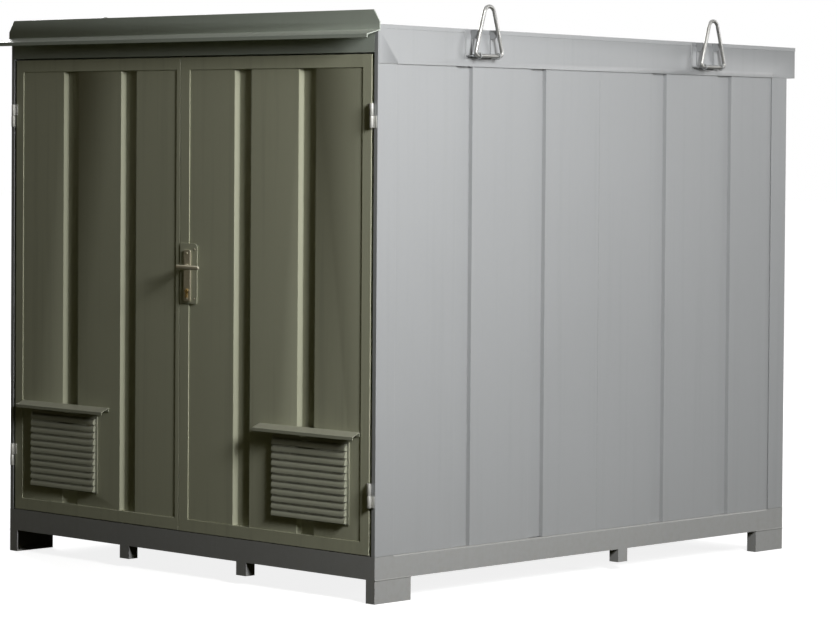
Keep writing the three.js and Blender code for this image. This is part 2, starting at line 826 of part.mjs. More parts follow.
function postKnuckle(side) {
  const axisX = side * hingeAxisOffset;
  const lower = [-knuckleLength - knuckleGap / 2, -knuckleGap / 2];
  return join(
    rod(axisX, hingeAxisY, barrelRadius, 'z', lower),
    rod(axisX, hingeAxisY, pinRadius, 'z', [-knuckleLength / 2, pinLength]),
    block([axisX, axisX + side * hingeTabReach], [frontFace - gap - hingeTabThickness, frontFace - gap], lower));
}

function doorKnuckle(side) {
  const axisX = side * hingeAxisOffset;
  const upper = [knuckleGap / 2, knuckleLength + knuckleGap / 2];
  const barrel = join(
    rod(axisX, hingeAxisY, barrelRadius, 'z', upper),
    block([axisX, axisX - side * hingeTabReach], [frontFace - gap - hingeTabThickness, frontFace - gap], upper));
  return cut(barrel, rod(axisX, hingeAxisY, pinRadius + pinClearance, 'z', [-1, pinLength + 1]));
}

// ---------- lock ----------

function cylinderOutline(clearance) {
  const r = cylinderRadius + clearance;
  const half = cylinderBlade / 2 + clearance;
  const meet = Math.asin(half / r);
  const shape = new THREE.Shape();
  shape.absarc(lockCentre, cylinderHeight, r, -Math.PI / 2 + meet, 1.5 * Math.PI - meet, false);
  shape.lineTo(lockCentre - half, cylinderHeight - cylinderTail - clearance);
  shape.lineTo(lockCentre + half, cylinderHeight - cylinderTail - clearance);
  return shape;
}

const lockCase = {
  x: [doors.right.x[0] + 24, lockPlateRight - 5],
  z: [lockPlateBottom + 6, lockPlateTop - 6],
};
const lockHoles = (span) => [
  rod(lockCentre, leverHeight, spindleHole, 'y', span),
  sweep(cylinderOutline(0.5), 'y', span),
];
const lockPocket = () => block([lockCase.x[0] - 1, lockCase.x[1] + 1],
  [frontFace + doorSheet, doorRear + 1], [lockCase.z[0] - 2, lockCase.z[1] + 2]);
const latchSpan = (clearance) => [
  [leverHeight - latchHeight / 2 - clearance, leverHeight + latchHeight / 2 + clearance],
  [lockCaseFront + 7 - clearance, lockCaseFront + 7 + latchWidth + clearance],
];
const latchPassage = (x) => {
  const [z, y] = latchSpan(latchClearance);
  return block(x, y, z);
};

function rightDoorFrame() {
  return cut(doorFrame(doors.right), lockPocket(), ...lockHoles([frontFace - 1, frontFace + doorSheet + 1]),
    latchPassage([doors.right.x[0] - 1, doors.right.x[0] + doorSheet + 1]));
}

function leftDoorFrame() {
  const boltX = [shootBoltX - shootBoltSide / 2 - 1, shootBoltX + shootBoltSide / 2 + 1];
  const boltY = [shootBoltY - shootBoltSide / 2 - 1, shootBoltY + shootBoltSide / 2 + 1];
  return cut(doorFrame(doors.left),
    latchPassage([doors.left.x[1] - doorSheet - 1, doors.left.x[1] + 1]),
    block(boltX, boltY, [doorTop - doorSheet - 1, doorTop + 1]),
    block(boltX, boltY, [doorBottom - 1, doorBottom + doorSheet + 1]));
}

function lockPlate() {
  const outline = roundedRectangle([doors.right.x[0] + 4, lockPlateRight], [lockPlateBottom, lockPlateTop],
    [4, 8, lockPlateCorner, 4]);
  const plate = sweep(outline, 'y', [lockPlateFront, lockPlateFront + lockPlateThickness]);
  return cut(plate, ...lockHoles([lockPlateFront - 1, frontFace + 1]));
}

function escutcheon() {
  const half = escutcheonWidth / 2;
  const outline = roundedRectangle([lockCentre - half, lockCentre + half], [escutcheonBottom, escutcheonTop],
    [6, 6, 6, 6]);
  const plate = sweep(outline, 'y', [escutcheonFront, escutcheonFront + escutcheonThickness]);
  return cut(plate, ...lockHoles([escutcheonFront - 1, lockPlateFront + 1]));
}

function leverHandle() {
  const neckBack = escutcheonFront - gap;
  const neckFront = neckBack - leverNeckLength;
  const gripFront = neckFront - leverGripDepth;
  const half = leverGripHeight / 2;
  const grip = roundedRectangle([-half, leverGripLength], [-half, half], [9, 5, 9, 9]);
  return join(
    rod(0, 0, leverNeckRadius + 4, 'y', [neckBack - 5, neckBack]),
    rod(0, 0, leverNeckRadius, 'y', [gripFront + 2, neckBack - 2]),
    sweep(grip, 'y', [gripFront, neckFront]),
    block([-spindleSide / 2, spindleSide / 2], [neckBack - 2, lockCaseFront + 18],
      [-spindleSide / 2, spindleSide / 2]));
}

function lockCylinder() {
  const span = [escutcheonFront - cylinderProud, lockCaseFront + 18];
  return cut(sweep(cylinderOutline(0), 'y', span),
    rod(lockCentre, cylinderHeight, plugRadius + plugClearance, 'y', [span[0] - 1, span[0] + plugLength]));
}

function keyPlug() {
  const front = escutcheonFront - cylinderProud - 1;
  const plug = rod(lockCentre, cylinderHeight, plugRadius, 'y', [front, front + plugLength]);
  const keyway = block([lockCentre - keywayWidth / 2, lockCentre + keywayWidth / 2],
    [front - 1, front + keywayDepth], [cylinderHeight - plugRadius * 0.7, cylinderHeight + plugRadius * 0.45]);
  return cut(plug, keyway);
}

function lockCaseBody() {
  const wall = lockCaseWall;
  const rear = lockCaseFront + lockCaseDepth;
  const whole = block(lockCase.x, [lockCaseFront, rear], lockCase.z);
  const hollow = block([lockCase.x[0] + wall, lockCase.x[1] - wall], [lockCaseFront + wall, rear + 1],
    [lockCase.z[0] + wall, lockCase.z[1] - wall]);
  return cut(whole, hollow, ...lockHoles([lockCaseFront - 1, lockCaseFront + wall + 1]),
    latchPassage([lockCase.x[0] - 1, lockCase.x[0] + wall + 1]));
}

// The bolt's nose is bevelled on the side that meets the strike first.
function latchBolt() {
  const [z, y] = latchSpan(0);
  const tip = doors.left.x[1] - doorSheet - 6;
  const shoulder = lockCentre - spindleHole - latchThrow - 4;
  return sweep([[shoulder, y[0]], [shoulder, y[1]], [tip + 9, y[1]], [tip, y[0] + 3], [tip, y[0]]], 'z', z);
}

function shootBolt(end) {
  const half = shootBoltSide / 2;
  const tip = end > 0 ? doorTop + doorClearance + shootBoltEngage : doorBottom - doorClearance - shootBoltEngage;
  const rear = tip - end * shootBoltLength;
  const pull = rear + end * 20;
  return join(
    block([shootBoltX - half, shootBoltX + half], [shootBoltY - half, shootBoltY + half], [rear, tip]),
    block([shootBoltX - half, shootBoltX + half], [shootBoltY, doorRear + 14], [pull - 4, pull + 4]));
}

// ---------- floor ----------

function floorPlate() {
  const x = halfWidth - floorMargin;
  const plate = block([-x, x], [doorStopFace + postThickness + gap, halfDepth - floorMargin], [floorBottom, floorTop]);
  const holes = [switchboardCableHole, supplyCableHole].map(({ x: cx, y: cy, width, depth }) =>
    block([cx - width / 2, cx + width / 2], [cy - depth / 2, cy + depth / 2], [floorBottom - 1, floorTop + 1]));
  return cut(plate, ...holes);
}

// ---------- transformer ----------

const tankBottom = skidHeight + gap;
const tankTop = tankBottom + tankHeight;

function fins() {
  const z = [tankBottom + finRootHeight, tankBottom + finRootHeight + finHeight];
  const row = (length) => {
    const count = Math.floor((length - 60) / finPitch);
    return Array.from({ length: count }, (_, i) => (i - (count - 1) / 2) * finPitch);
  };
  const half = finThickness / 2;
  const blades = [];
  for (const end of [-1, 1]) {
    for (const x of row(tankLength)) {
      blades.push(block([x - half, x + half],
        [end * (tankWidth / 2 - 1), end * (tankWidth / 2 + finDepth)], z));
    }
    for (const y of row(tankWidth)) {
      blades.push(block([end * (tankLength / 2 - 1), end * (tankLength / 2 + finDepth)],
        [y - half, y + half], z));
    }
  }
  return blades;
}

function transformerTank() {
  const x = tankLength / 2;
  const y = tankWidth / 2;
  const body = block([-x, x], [-y, y], [tankBottom, tankTop]);
  const rim = block([-x - rimWidth, x + rimWidth], [-y - rimWidth, y + rimWidth], [tankTop - 10, tankTop]);
  const skids = [-skidSpread, skidSpread].map((place) => block(
    [place - skidWidth / 2, place + skidWidth / 2], [-skidLength / 2, skidLength / 2], [gap, tankBottom + 1]));
  const inside = block([-x + tankWall, x - tankWall], [-y + tankWall, y - tankWall],
    [tankBottom + tankWall, tankTop + 1]);
  return cut(join(body, rim, ...skids, ...fins()), inside);
}

const lidTop = tankTop + gap + lidThickness;

function tankLid() {
  const x = tankLength / 2 + rimWidth;
  const y = tankWidth / 2 + rimWidth;
  return block([-x, x], [-y, y], [tankTop + gap, lidTop]);
}

const coreBottom = tankBottom + tankWall + coreLift;

function core() {
  const halfSpan = limbPitch + limbWidth / 2;
  const halfDeep = coreDepth / 2;
  const whole = block([-halfSpan, halfSpan], [-halfDeep, halfDeep], [0, windowHeight + 2 * yokeHeight]);
  const windows = sides.map(([, side]) => block(
    [side * limbWidth / 2, side * (limbPitch - limbWidth / 2)], [-halfDeep - 1, halfDeep + 1],
    [yokeHeight, yokeHeight + windowHeight]));
  return cut(whole, ...windows);
}

function winding() {
  return turned([
    [windingInner, 0], [windingOuter, 0], [windingOuter, windingHeight], [windingInner, windingHeight],
    [windingInner, 0],
  ], 24);
}

const sheddedProfile = (flange, body, shed, levels, bodyTop, stud, studTop) => [
  [0, 0], [flange, 0], [flange, 14], [body, 18],
  ...levels.flatMap((z) => [[body, z - 8], [shed, z - 4], [body, z + 14]]),
  [body, bodyTop], [stud, bodyTop], [stud, studTop], [0, studTop],
];

const hvBushing = () => turned(sheddedProfile(58, 34, 58, [70, 120, 170, 220], 262, 9, 316), 12);
const lvBushing = () => turned(sheddedProfile(40, 24, 36, [60], 92, 8, 136), 12);

// ---------- switchboard ----------

const boardRear = halfWidth - wallRecess - boardStandOff;
const boardFront = boardRear - boardDepth;

function switchboard() {
  const wall = boardWall;
  const y = [boardY - boardWidth / 2, boardY + boardWidth / 2];
  const z = [boardBottom, boardBottom + boardHeight];
  return cut(
    block([boardFront, boardRear], y, z),
    block([boardFront + wall, boardRear + 1], [y[0] + wall, y[1] - wall], [z[0] + wall, z[1] - wall]),
    rod(boardY, switchHeight, switchShaftRadius + 1, 'x', [boardFront - 1, boardFront + wall + 1]));
}

function switchHandle() {
  const hubBack = boardFront - gap;
  const half = switchGripWidth / 2;
  return join(
    rod(0, 0, switchHubRadius, 'x', [hubBack - switchHubDepth, hubBack], 24),
    rod(0, 0, switchShaftRadius, 'x', [hubBack - 2, hubBack + switchShaftLength]),
    sweep(roundedRectangle([-half, half], [-switchHubRadius * 0.6, switchGripLength], [10, 10, 10, 10]), 'x',
      [hubBack - switchHubDepth - switchGripDepth, hubBack - switchHubDepth + 1]));
}

// ---------- the whole kiosk ----------

add('base_frame', baseFrame(), basePaint);
add('floor_plate', floorPlate(), chequerPlate);
add('lintel', lintel(), greyPaint);
add('rear_wall', rearWall(), greyPaint);
add('roof', roof(), greyPaint);
add('canopy', canopy(), greyPaint);

for (const [name, side] of sides) {
  add(`front_post_${name}`, frontPost(side), greyPaint);
  add(`rear_post_${name}`, rearPost(side), greyPaint);
  add(`side_wall_${name}`, sideWall(side), greyPaint);
  for (const [i, end] of ['front', 'rear'].entries()) {
    const y = ringPlaces[i];
    const pivotZ = roofTop(y) - ringPivotBelowRoof;
    add(`ring_bracket_${end}_${name}`, ringBracket(side), greyPaint, [side * halfWidth, y, pivotZ]);
    add(`lifting_ring_${end}_${name}`, liftingRing(), greyPaint,
      [side * (halfWidth + ringStandOff), y, pivotZ]);
  }
  for (const [i, level] of ['lower', 'upper'].entries()) {
    add(`${level}_hinge_post_half_${name}`, postKnuckle(side), zinc, [0, 0, hingeHeights[i]]);
    add(`${level}_hinge_door_half_${name}`, doorKnuckle(side), zinc, [0, 0, hingeHeights[i]]);
  }
  add(`door_louvre_${name}`, louvre(), greyPaint, [doors[name].louvre, 0, 0]);
  add(`louvre_hood_${name}`, hood(), greyPaint, [doors[name].hood, 0, 0]);
}
add('door_frame_left', leftDoorFrame(), greyPaint);
add('door_panel_left', doorPanel(doors.left), greyPaint);
add('door_frame_right', rightDoorFrame(), greyPaint);
add('door_panel_right', cut(doorPanel(doors.right), lockPocket()), greyPaint);

add('lock_plate', lockPlate(), greyPaint);
add('escutcheon', escutcheon(), satinSteel);
add('lever_handle', leverHandle(), satinSteel, [lockCentre, 0, leverHeight]);
add('lock_cylinder', lockCylinder(), brass);
add('key_plug', keyPlug(), brass);
add('lock_case', lockCaseBody(), zinc);
add('latch_bolt', latchBolt(), satinSteel);
add('shoot_bolt_top', shootBolt(1), zinc);
add('shoot_bolt_bottom', shootBolt(-1), zinc);

const transformer = new THREE.Group();
transformer.position.set(transformerX, transformerY, floorTop);
transformerKiosk.add(transformer);
add('transformer_tank', transformerTank(), tankPaint, [0, 0, 0], transformer);
add('tank_lid', tankLid(), tankPaint, [0, 0, 0], transformer);
add('magnetic_core', core(), coreSteel, [0, 0, coreBottom], transformer);
for (const [i, phase] of [-1, 0, 1].entries()) {
  add(`phase_winding_${i + 1}`, winding(), enamelledCopper,
    [phase * limbPitch, 0, coreBottom + yokeHeight + (windowHeight - windingHeight) / 2], transformer);
  add(`high_voltage_bushing_${i + 1}`, hvBushing(), porcelain, [phase * hvPitch, hvOffset, lidTop + gap], transformer);
}
for (let i = 0; i < 4; i += 1) {
  add(`low_voltage_bushing_${i + 1}`, lvBushing(), porcelain,
    [(i - 1.5) * lvPitch, lvOffset, lidTop + gap], transformer);
}

add('switchboard', switchboard(), greyPaint);
add('main_switch_handle', switchHandle(), blackPlastic, [0, boardY, switchHeight]);

export default transformerKiosk;
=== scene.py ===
import json
import math

import bmesh
import bpy
from bpy.props import FloatProperty, FloatVectorProperty, IntProperty, PointerProperty
from mathutils import Matrix, Vector


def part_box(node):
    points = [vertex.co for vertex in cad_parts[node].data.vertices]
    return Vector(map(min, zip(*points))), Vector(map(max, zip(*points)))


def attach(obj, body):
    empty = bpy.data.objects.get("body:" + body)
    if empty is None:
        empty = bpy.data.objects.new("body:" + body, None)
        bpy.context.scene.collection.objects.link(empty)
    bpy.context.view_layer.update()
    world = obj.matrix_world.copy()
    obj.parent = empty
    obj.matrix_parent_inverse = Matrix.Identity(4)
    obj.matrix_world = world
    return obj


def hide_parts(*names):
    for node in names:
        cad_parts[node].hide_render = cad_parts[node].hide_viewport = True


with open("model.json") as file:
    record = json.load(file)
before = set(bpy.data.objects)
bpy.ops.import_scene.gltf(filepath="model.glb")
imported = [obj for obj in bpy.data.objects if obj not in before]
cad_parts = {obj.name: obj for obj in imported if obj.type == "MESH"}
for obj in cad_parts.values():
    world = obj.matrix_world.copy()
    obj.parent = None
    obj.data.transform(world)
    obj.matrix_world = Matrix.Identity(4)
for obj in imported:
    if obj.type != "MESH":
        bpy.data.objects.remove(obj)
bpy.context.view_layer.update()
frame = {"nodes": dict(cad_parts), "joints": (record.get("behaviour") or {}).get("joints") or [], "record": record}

bl_info = {
    "name": "Transformer kiosk",
    "version": (1, 0, 0),
    "blender": (4, 5, 0),
    "location": "View3D > Sidebar > Kiosk",
    "description": "Builds the finished surfaces of a walk-up transformer kiosk around its CAD frame",
    "category": "Object",
}

SIDES = ("left", "right")
ENDS = ("front", "rear")
TINY = 1e-6
QUARTER = math.pi / 2


# ---------- sizes and colours a user would change ----------

def colour(name, description, value):
    return FloatVectorProperty(name=name, description=description, default=value, size=3,
                               subtype="COLOR", min=0.0, max=1.0)


def length(name, description, value):
    return FloatProperty(name=name, description=description, default=value, unit="LENGTH")


def power(name, description, value):
    return FloatProperty(name=name, description=description, default=value, unit="POWER")


class KioskPaint(bpy.types.PropertyGroup):
    housing: colour("Housing", "Enamel on the walls, posts and roof", (0.375, 0.385, 0.395))
    # Painted light: front, door and louvre are copies of the housing's one enamel. They are made lighter to offset
    # the dim light on the front and tinted olive to carry the olive tone of its shade; the louvre copy is a
    # painted shade darker than the door copy.
    front: colour("Front", "Enamel on the canopy and lintel", (0.49, 0.54, 0.475))
    door: colour("Doors", "Enamel on the doors", (0.57, 0.58, 0.43))
    louvre: colour("Louvres", "Enamel on the louvres and their hoods", (0.44, 0.45, 0.35))
    base: colour("Base", "Enamel on the base channel", (0.37, 0.375, 0.375))
    tank: colour("Tank", "Enamel on the transformer", (0.17, 0.21, 0.20))
    board: colour("Switchboard", "Powder coat on the switchboard", (0.52, 0.53, 0.52))
    dust: colour("Dust", "Settled dust near the ground", (0.26, 0.24, 0.19))
    primer: colour("Primer", "Undercoat that shows where an edge has worn", (0.60, 0.60, 0.54))
    roughness: FloatProperty(name="Roughness", description="Roughness of the housing enamel",
                             default=0.46, min=0.0, max=1.0)


class KioskSizes(bpy.types.PropertyGroup):
    fold_radius: length("Fold radius", "Rounding of folded sheet edges", 0.0011)
    plate_edge: length("Plate edge", "Rounding of cut plate edges", 0.0008)
    blade_sheet: length("Blade sheet", "Thickness of a louvre blade", 0.0018)
    weld_width: length("Weld width", "Leg of the fillet welds", 0.006)
    gasket: length("Gasket", "Thickness of the door seal", 0.0034)
    tank_bolt: length("Tank bolt", "Width across flats of the lid bolts", 0.019)
    busbar_width: length("Busbar width", "Width of the low-voltage bars", 0.040)
    busbar_thickness: length("Busbar thickness", "Thickness of the low-voltage bars", 0.006)
    ring_segments: IntProperty(name="Ring segments", description="Faces around the lifting bar",
                               default=24, min=8, max=64)


class KioskStage(bpy.types.PropertyGroup):
    key: power("Key light", "Power of the main light", 170.0)
    fill: power("Fill light", "Power of the light on the doors", 3.0)
    side: power("Side light", "Power of the light on the right side", 114.0)
    back_left: power("Back left light", "Power of the light behind the left side", 520.0)
    back_right: power("Back right light", "Power of the light behind the rear wall", 130.0)
    inside: power("Inside light", "Power of the light under the roof", 9.0)
    ambient: FloatProperty(name="Ambient", description="Strength of the even light", default=0.003)
    horizon: colour("Horizon", "What glossy metal mirrors from the horizon", (0.15, 0.13, 0.085))
    sky: FloatProperty(name="Sky", description="Brightness that glossy metal mirrors from above", default=0.9)
    tint: colour("Fill tint", "Colour of the fill and even light", (1.0, 0.96, 0.42))


def settings():
    scene = bpy.context.scene
    return scene.kiosk_paint, scene.kiosk_sizes, scene.kiosk_stage


# ---------- node groups ----------

RESULTS = {"Color": "NodeSocketColor", "Roughness": "NodeSocketFloat", "Height": "NodeSocketFloat"}


def group_of(name, inputs):
    """A new node group with the named inputs and a surface's three results, and its input sockets."""
    tree = bpy.data.node_groups.new(name, "ShaderNodeTree")
    for socket, value in inputs.items():
        kind = "NodeSocketColor" if isinstance(value, tuple) else "NodeSocketFloat"
        made = tree.interface.new_socket(name=socket, in_out="INPUT", socket_type=kind)
        made.default_value = (*value, 1.0) if isinstance(value, tuple) else value
    for socket, kind in RESULTS.items():
        tree.interface.new_socket(name=socket, in_out="OUTPUT", socket_type=kind)
    return tree, tree.nodes.new("NodeGroupInput").outputs


def give_results(tree, *values):
    """Links a node group's colour, roughness and height to its outputs."""
    out = tree.nodes.new("NodeGroupOutput")
    for socket, value in zip(RESULTS, values):
        tree.links.new(value, out.inputs[socket])
    return tree


def node(tree, kind, inputs=None, **attributes):
    """A node with its attributes set, and its inputs set or linked."""
    made = tree.nodes.new(kind)
    for key, value in attributes.items():
        setattr(made, key, value)
    for key, value in (inputs or {}).items():
        if isinstance(value, bpy.types.NodeSocket):
            tree.links.new(value, made.inputs[key])
        else:
            made.inputs[key].default_value = value
    return made


def math_node(tree, operation, a, b, clamp=False):
    return node(tree, "ShaderNodeMath", {0: a, 1: b}, operation=operation, use_clamp=clamp).outputs[0]


def plus(tree, a, b, clamp=False):
    return math_node(tree, "ADD", a, b, clamp)


def minus(tree, a, b):
    return math_node(tree, "SUBTRACT", a, b)


def times(tree, a, b, clamp=False):
    return math_node(tree, "MULTIPLY", a, b, clamp)


def noise(tree, vector, scale, detail=3.0, roughness=0.55):
    return node(tree, "ShaderNodeTexNoise",
                {"Vector": vector, "Scale": scale, "Detail": detail, "Roughness": roughness}).outputs["Fac"]


def object_place(tree):
    return node(tree, "ShaderNodeTexCoord").outputs["Object"]


def stretched(tree, vector, scale):
    return node(tree, "ShaderNodeMapping", {"Vector": vector, "Scale": scale}).outputs["Vector"]


def mix_colour(tree, factor, a, b):
    return node(tree, "ShaderNodeMix", {"Factor": factor, 6: a, 7: b}, data_type="RGBA").outputs[2]


def remap(tree, value, low, high, out_low=0.0, out_high=1.0):
    return node(tree, "ShaderNodeMapRange",
                {"Value": value, "From Min": low, "From Max": high, "To Min": out_low, "To Max": out_high},
                clamp=True).outputs["Result"]


def vector_math(tree, operation, inputs, output):
    return node(tree, "ShaderNodeVectorMath", inputs, operation=operation).outputs[output]


def height_of(tree, vector):
    return node(tree, "ShaderNodeSeparateXYZ", {"Vector": vector}).outputs["Z"]


def edge_mask(tree, width):
    """1 on edges, 0 on flat faces: how far the surface turns within a small width."""
    turned = node(tree, "ShaderNodeBevel", {"Radius": width}, samples=4).outputs["Normal"]
    plain = node(tree, "ShaderNodeNewGeometry").outputs["Normal"]
    return remap(tree, vector_math(tree, "DOT_PRODUCT", {0: turned, 1: plain}, "Value"), 0.995, 0.90)


def enamel_group():
    """Sprayed enamel: cloudy tone, rain streaks, dust near the ground, worn edges, orange peel."""
    tree, given = group_of("Sprayed enamel", {
        "Paint": (0.4, 0.4, 0.4), "Dust colour": (0.3, 0.3, 0.2), "Roughness": 0.45, "Cloudiness": 0.08,
        "Streaks": 0.06, "Dust": 0.2, "Waviness": 1.0, "Grime": 0.35, "Primer colour": (0.6, 0.6, 0.5),
        "Edge wear": 0.6})
    frame_of = node(tree, "ShaderNodeTexCoord").outputs
    place = frame_of["Object"]
    cloud = noise(tree, place, 1.7, 4.0)
    mottle = noise(tree, place, 38.0, 5.0, 0.65)
    streak = noise(tree, stretched(tree, place, (26.0, 26.0, 0.7)), 1.0, 3.0, 0.6)
    speck = noise(tree, place, 160.0, 2.0)

    low = remap(tree, height_of(tree, place), 0.42, 0.0)
    grime = times(tree, remap(tree, mottle, 0.42, 0.70), low)
    dust = times(tree, plus(tree, grime, times(tree, low, 0.35)), given["Dust"], clamp=True)
    lift = times(tree, minus(tree, cloud, 0.5), given["Cloudiness"])
    fall = times(tree, remap(tree, streak, 0.52, 0.74), given["Streaks"])
    fine = times(tree, minus(tree, mottle, 0.5), 0.05)
    gain = plus(tree, minus(tree, plus(tree, 1.0, lift), fall), fine)
    toned = vector_math(tree, "SCALE", {0: given["Paint"], "Scale": gain}, 0)
    patches = times(tree, remap(tree, mottle, 0.2, 0.6, 0.5, 1.0), given["Grime"])
    settled = times(tree, remap(tree, height_of(tree, frame_of["Normal"]), 0.25, 0.9), patches)
    grimy = mix_colour(tree, math_node(tree, "MAXIMUM", dust, settled), toned, given["Dust colour"])
    chips = times(tree, remap(tree, noise(tree, place, 95.0, 4.0, 0.7), 0.54, 0.64), given["Edge wear"])
    worn = mix_colour(tree, times(tree, edge_mask(tree, 0.0022), chips), grimy, given["Primer colour"])

    rough = plus(tree, given["Roughness"], times(tree, minus(tree, mottle, 0.5), 0.16))
    peel = times(tree, noise(tree, place, 420.0, 2.0), 0.04)
    wave = times(tree, noise(tree, stretched(tree, place, (2.4, 2.4, 1.1)), 1.0, 1.5), given["Waviness"])
    bumps = plus(tree, peel, plus(tree, wave, times(tree, speck, 0.01)))
    return give_results(tree, worn, plus(tree, rough, times(tree, dust, 0.5), clamp=True), bumps)


def metal_group():
    """Bare or plated metal: fine scratches, finger marks and tarnish."""
    tree, given = group_of("Plated metal", {
        "Tone": (0.6, 0.6, 0.6), "Tarnish colour": (0.3, 0.3, 0.3), "Roughness": 0.3, "Tarnish": 0.3,
        "Grain": 0.5})
    place = object_place(tree)
    blotch = noise(tree, place, 60.0, 5.0, 0.6)
    scratch = noise(tree, stretched(tree, place, (60.0, 60.0, 1400.0)), 1.0, 2.0)
    stain = times(tree, remap(tree, blotch, 0.45, 0.75), given["Tarnish"])
    rough = plus(tree, given["Roughness"], times(tree, minus(tree, blotch, 0.4), 0.3))
    return give_results(tree, mix_colour(tree, stain, given["Tone"], given["Tarnish colour"]),
                        plus(tree, rough, times(tree, stain, 0.3), clamp=True),
                        times(tree, scratch, given["Grain"]))


def moulded_group():
    """Moulded plastic, rubber or glaze: a fine texture and a little handling wear."""
    tree, given = group_of("Moulded surface", {
        "Tone": (0.05, 0.05, 0.05), "Worn colour": (0.2, 0.2, 0.2), "Roughness": 0.5, "Wear": 0.1,
        "Texture": 0.3, "Scale": 900.0})
    place = object_place(tree)
    patch = noise(tree, place, 45.0, 4.0)
    worn = times(tree, remap(tree, patch, 0.5, 0.8), given["Wear"])
    rough = plus(tree, given["Roughness"], times(tree, minus(tree, patch, 0.5), 0.2), clamp=True)
    grain = noise(tree, stretched(tree, place, (1.0, 1.0, 1.0)), given["Scale"], 2.0)
    return give_results(tree, mix_colour(tree, worn, given["Tone"], given["Worn colour"]), rough,
                        times(tree, grain, given["Texture"]))


GROUPS = {"enamel": enamel_group, "metal": metal_group, "moulded": moulded_group}
built_groups = {}


def surface(name, group, values, bump=0.001, **principled):
    """A material whose colour, roughness and bump come from one of the shared groups."""
    if group not in built_groups:
        built_groups[group] = GROUPS[group]()
    made = bpy.data.materials.new(name)
    made.use_nodes = True
    tree = made.node_tree
    shader = tree.nodes["Principled BSDF"]
    effect = node(tree, "ShaderNodeGroup", node_tree=built_groups[group])
    for key, value in values.items():
        effect.inputs[key].default_value = (*value, 1.0) if hasattr(value, "__len__") else value
    tree.links.new(effect.outputs["Color"], shader.inputs["Base Color"])
    tree.links.new(effect.outputs["Roughness"], shader.inputs["Roughness"])
    relief = node(tree, "ShaderNodeBump",
                  {"Height": effect.outputs["Height"], "Strength": 1.0, "Distance": bump})
    tree.links.new(relief.outputs["Normal"], shader.inputs["Normal"])
    for key, value in principled.items():
        shader.inputs[key.replace("_", " ").title().replace("Ior", "IOR")].default_value = value
    return made


def make_materials():
    paint = settings()[0]
    dust = tuple(paint.dust)

    def enamel(name, tone, roughness, streaks=0.04, dirt=0.12, waviness=0.55):
        values = {"Paint": tuple(tone), "Dust colour": dust, "Roughness": roughness, "Streaks": streaks,
                  "Dust": dirt, "Waviness": waviness, "Primer colour": tuple(paint.primer)}
        return surface(name, "enamel", values, bump=0.0022, coat_weight=0.12, coat_roughness=0.28)

    def metal(name, tone, dull, roughness, tarnish, grain=0.4, metallic=1.0):
        values = {"Tone": tone, "Tarnish colour": dull, "Roughness": roughness, "Tarnish": tarnish,
                  "Grain": grain}
        return surface(name, "metal", values, bump=0.00006, metallic=metallic)

    def moulded(name, tone, worn, roughness, wear, texture, scale, **principled):
        values = {"Tone": tone, "Worn colour": worn, "Roughness": roughness, "Wear": wear, "Texture": texture,
                  "Scale": scale}
        return surface(name, "moulded", values, bump=0.0001, **principled)

    return {
        "housing": enamel("housing enamel", paint.housing, paint.roughness),
        # Painted light: the front, door and louvre materials are lit and shaded copies of the housing enamel,
        # lighter and olive-tinted to stand in for the dim olive light on the front.
        "front": enamel("front enamel with painted light", paint.front, paint.roughness),
        "door": enamel("door enamel with painted light", paint.door, paint.roughness, streaks=0.10),
        "louvre": enamel("louvre enamel with painted shade", paint.louvre, paint.roughness, streaks=0.05),
        "base": enamel("base enamel", paint.base, paint.roughness + 0.06, dirt=0.22),
        "ring": metal("galvanised bar", (0.42, 0.42, 0.41), (0.26, 0.26, 0.25), 0.30, 0.45, metallic=0.75),
        "hinge": metal("zinc-coated hinge", (0.62, 0.62, 0.59), (0.42, 0.42, 0.40), 0.42, 0.4, metallic=0.35),
        "tank": enamel("tank enamel", paint.tank, 0.34, streaks=0.12, dirt=0.1, waviness=0.2),
        "board": enamel("powder coat", paint.board, 0.5, streaks=0.0, dirt=0.0, waviness=0.1),
        "zinc": metal("zinc plate", (0.66, 0.67, 0.68), (0.36, 0.37, 0.38), 0.34, 0.5),
        "steel": metal("satin nickel", (0.70, 0.66, 0.53), (0.40, 0.35, 0.26), 0.34, 0.3, metallic=0.7),
        "brass": metal("brass", (0.72, 0.54, 0.25), (0.30, 0.20, 0.09), 0.26, 0.45),
        "copper": metal("copper bar", (0.70, 0.33, 0.18), (0.22, 0.10, 0.06), 0.3, 0.5),
        "winding": metal("enamelled winding", (0.52, 0.20, 0.09), (0.25, 0.10, 0.05), 0.38, 0.4, grain=1.5),
        "core": metal("laminated steel", (0.22, 0.23, 0.25), (0.12, 0.12, 0.13), 0.45, 0.5, grain=2.0),
        "tread": metal("floor steel", (0.36, 0.37, 0.38), (0.16, 0.15, 0.14), 0.42, 0.7),
        "porcelain": moulded("brown glaze", (0.13, 0.042, 0.022), (0.20, 0.08, 0.04), 0.14, 0.3, 0.05, 300.0,
                             coat_weight=0.6, coat_roughness=0.08),
        "rubber": moulded("seal rubber", (0.018, 0.018, 0.018), (0.07, 0.07, 0.07), 0.72, 0.4, 0.6, 1400.0),
        "black": moulded("black moulding", (0.02, 0.02, 0.021), (0.08, 0.08, 0.08), 0.42, 0.2, 0.5, 1200.0),
        "red": moulded("red moulding", (0.42, 0.025, 0.02), (0.5, 0.12, 0.1), 0.4, 0.2, 0.4, 1200.0),
        "glass": moulded("gauge glass", (0.55, 0.42, 0.18), (0.6, 0.5, 0.25), 0.08, 0.1, 0.0, 300.0,
                         coat_weight=1.0, coat_roughness=0.03),
        "blank": moulded("blank plate", (0.62, 0.62, 0.60), (0.45, 0.45, 0.43), 0.35, 0.3, 0.1, 500.0),
    }


materials = {}


# ---------- shapes ----------

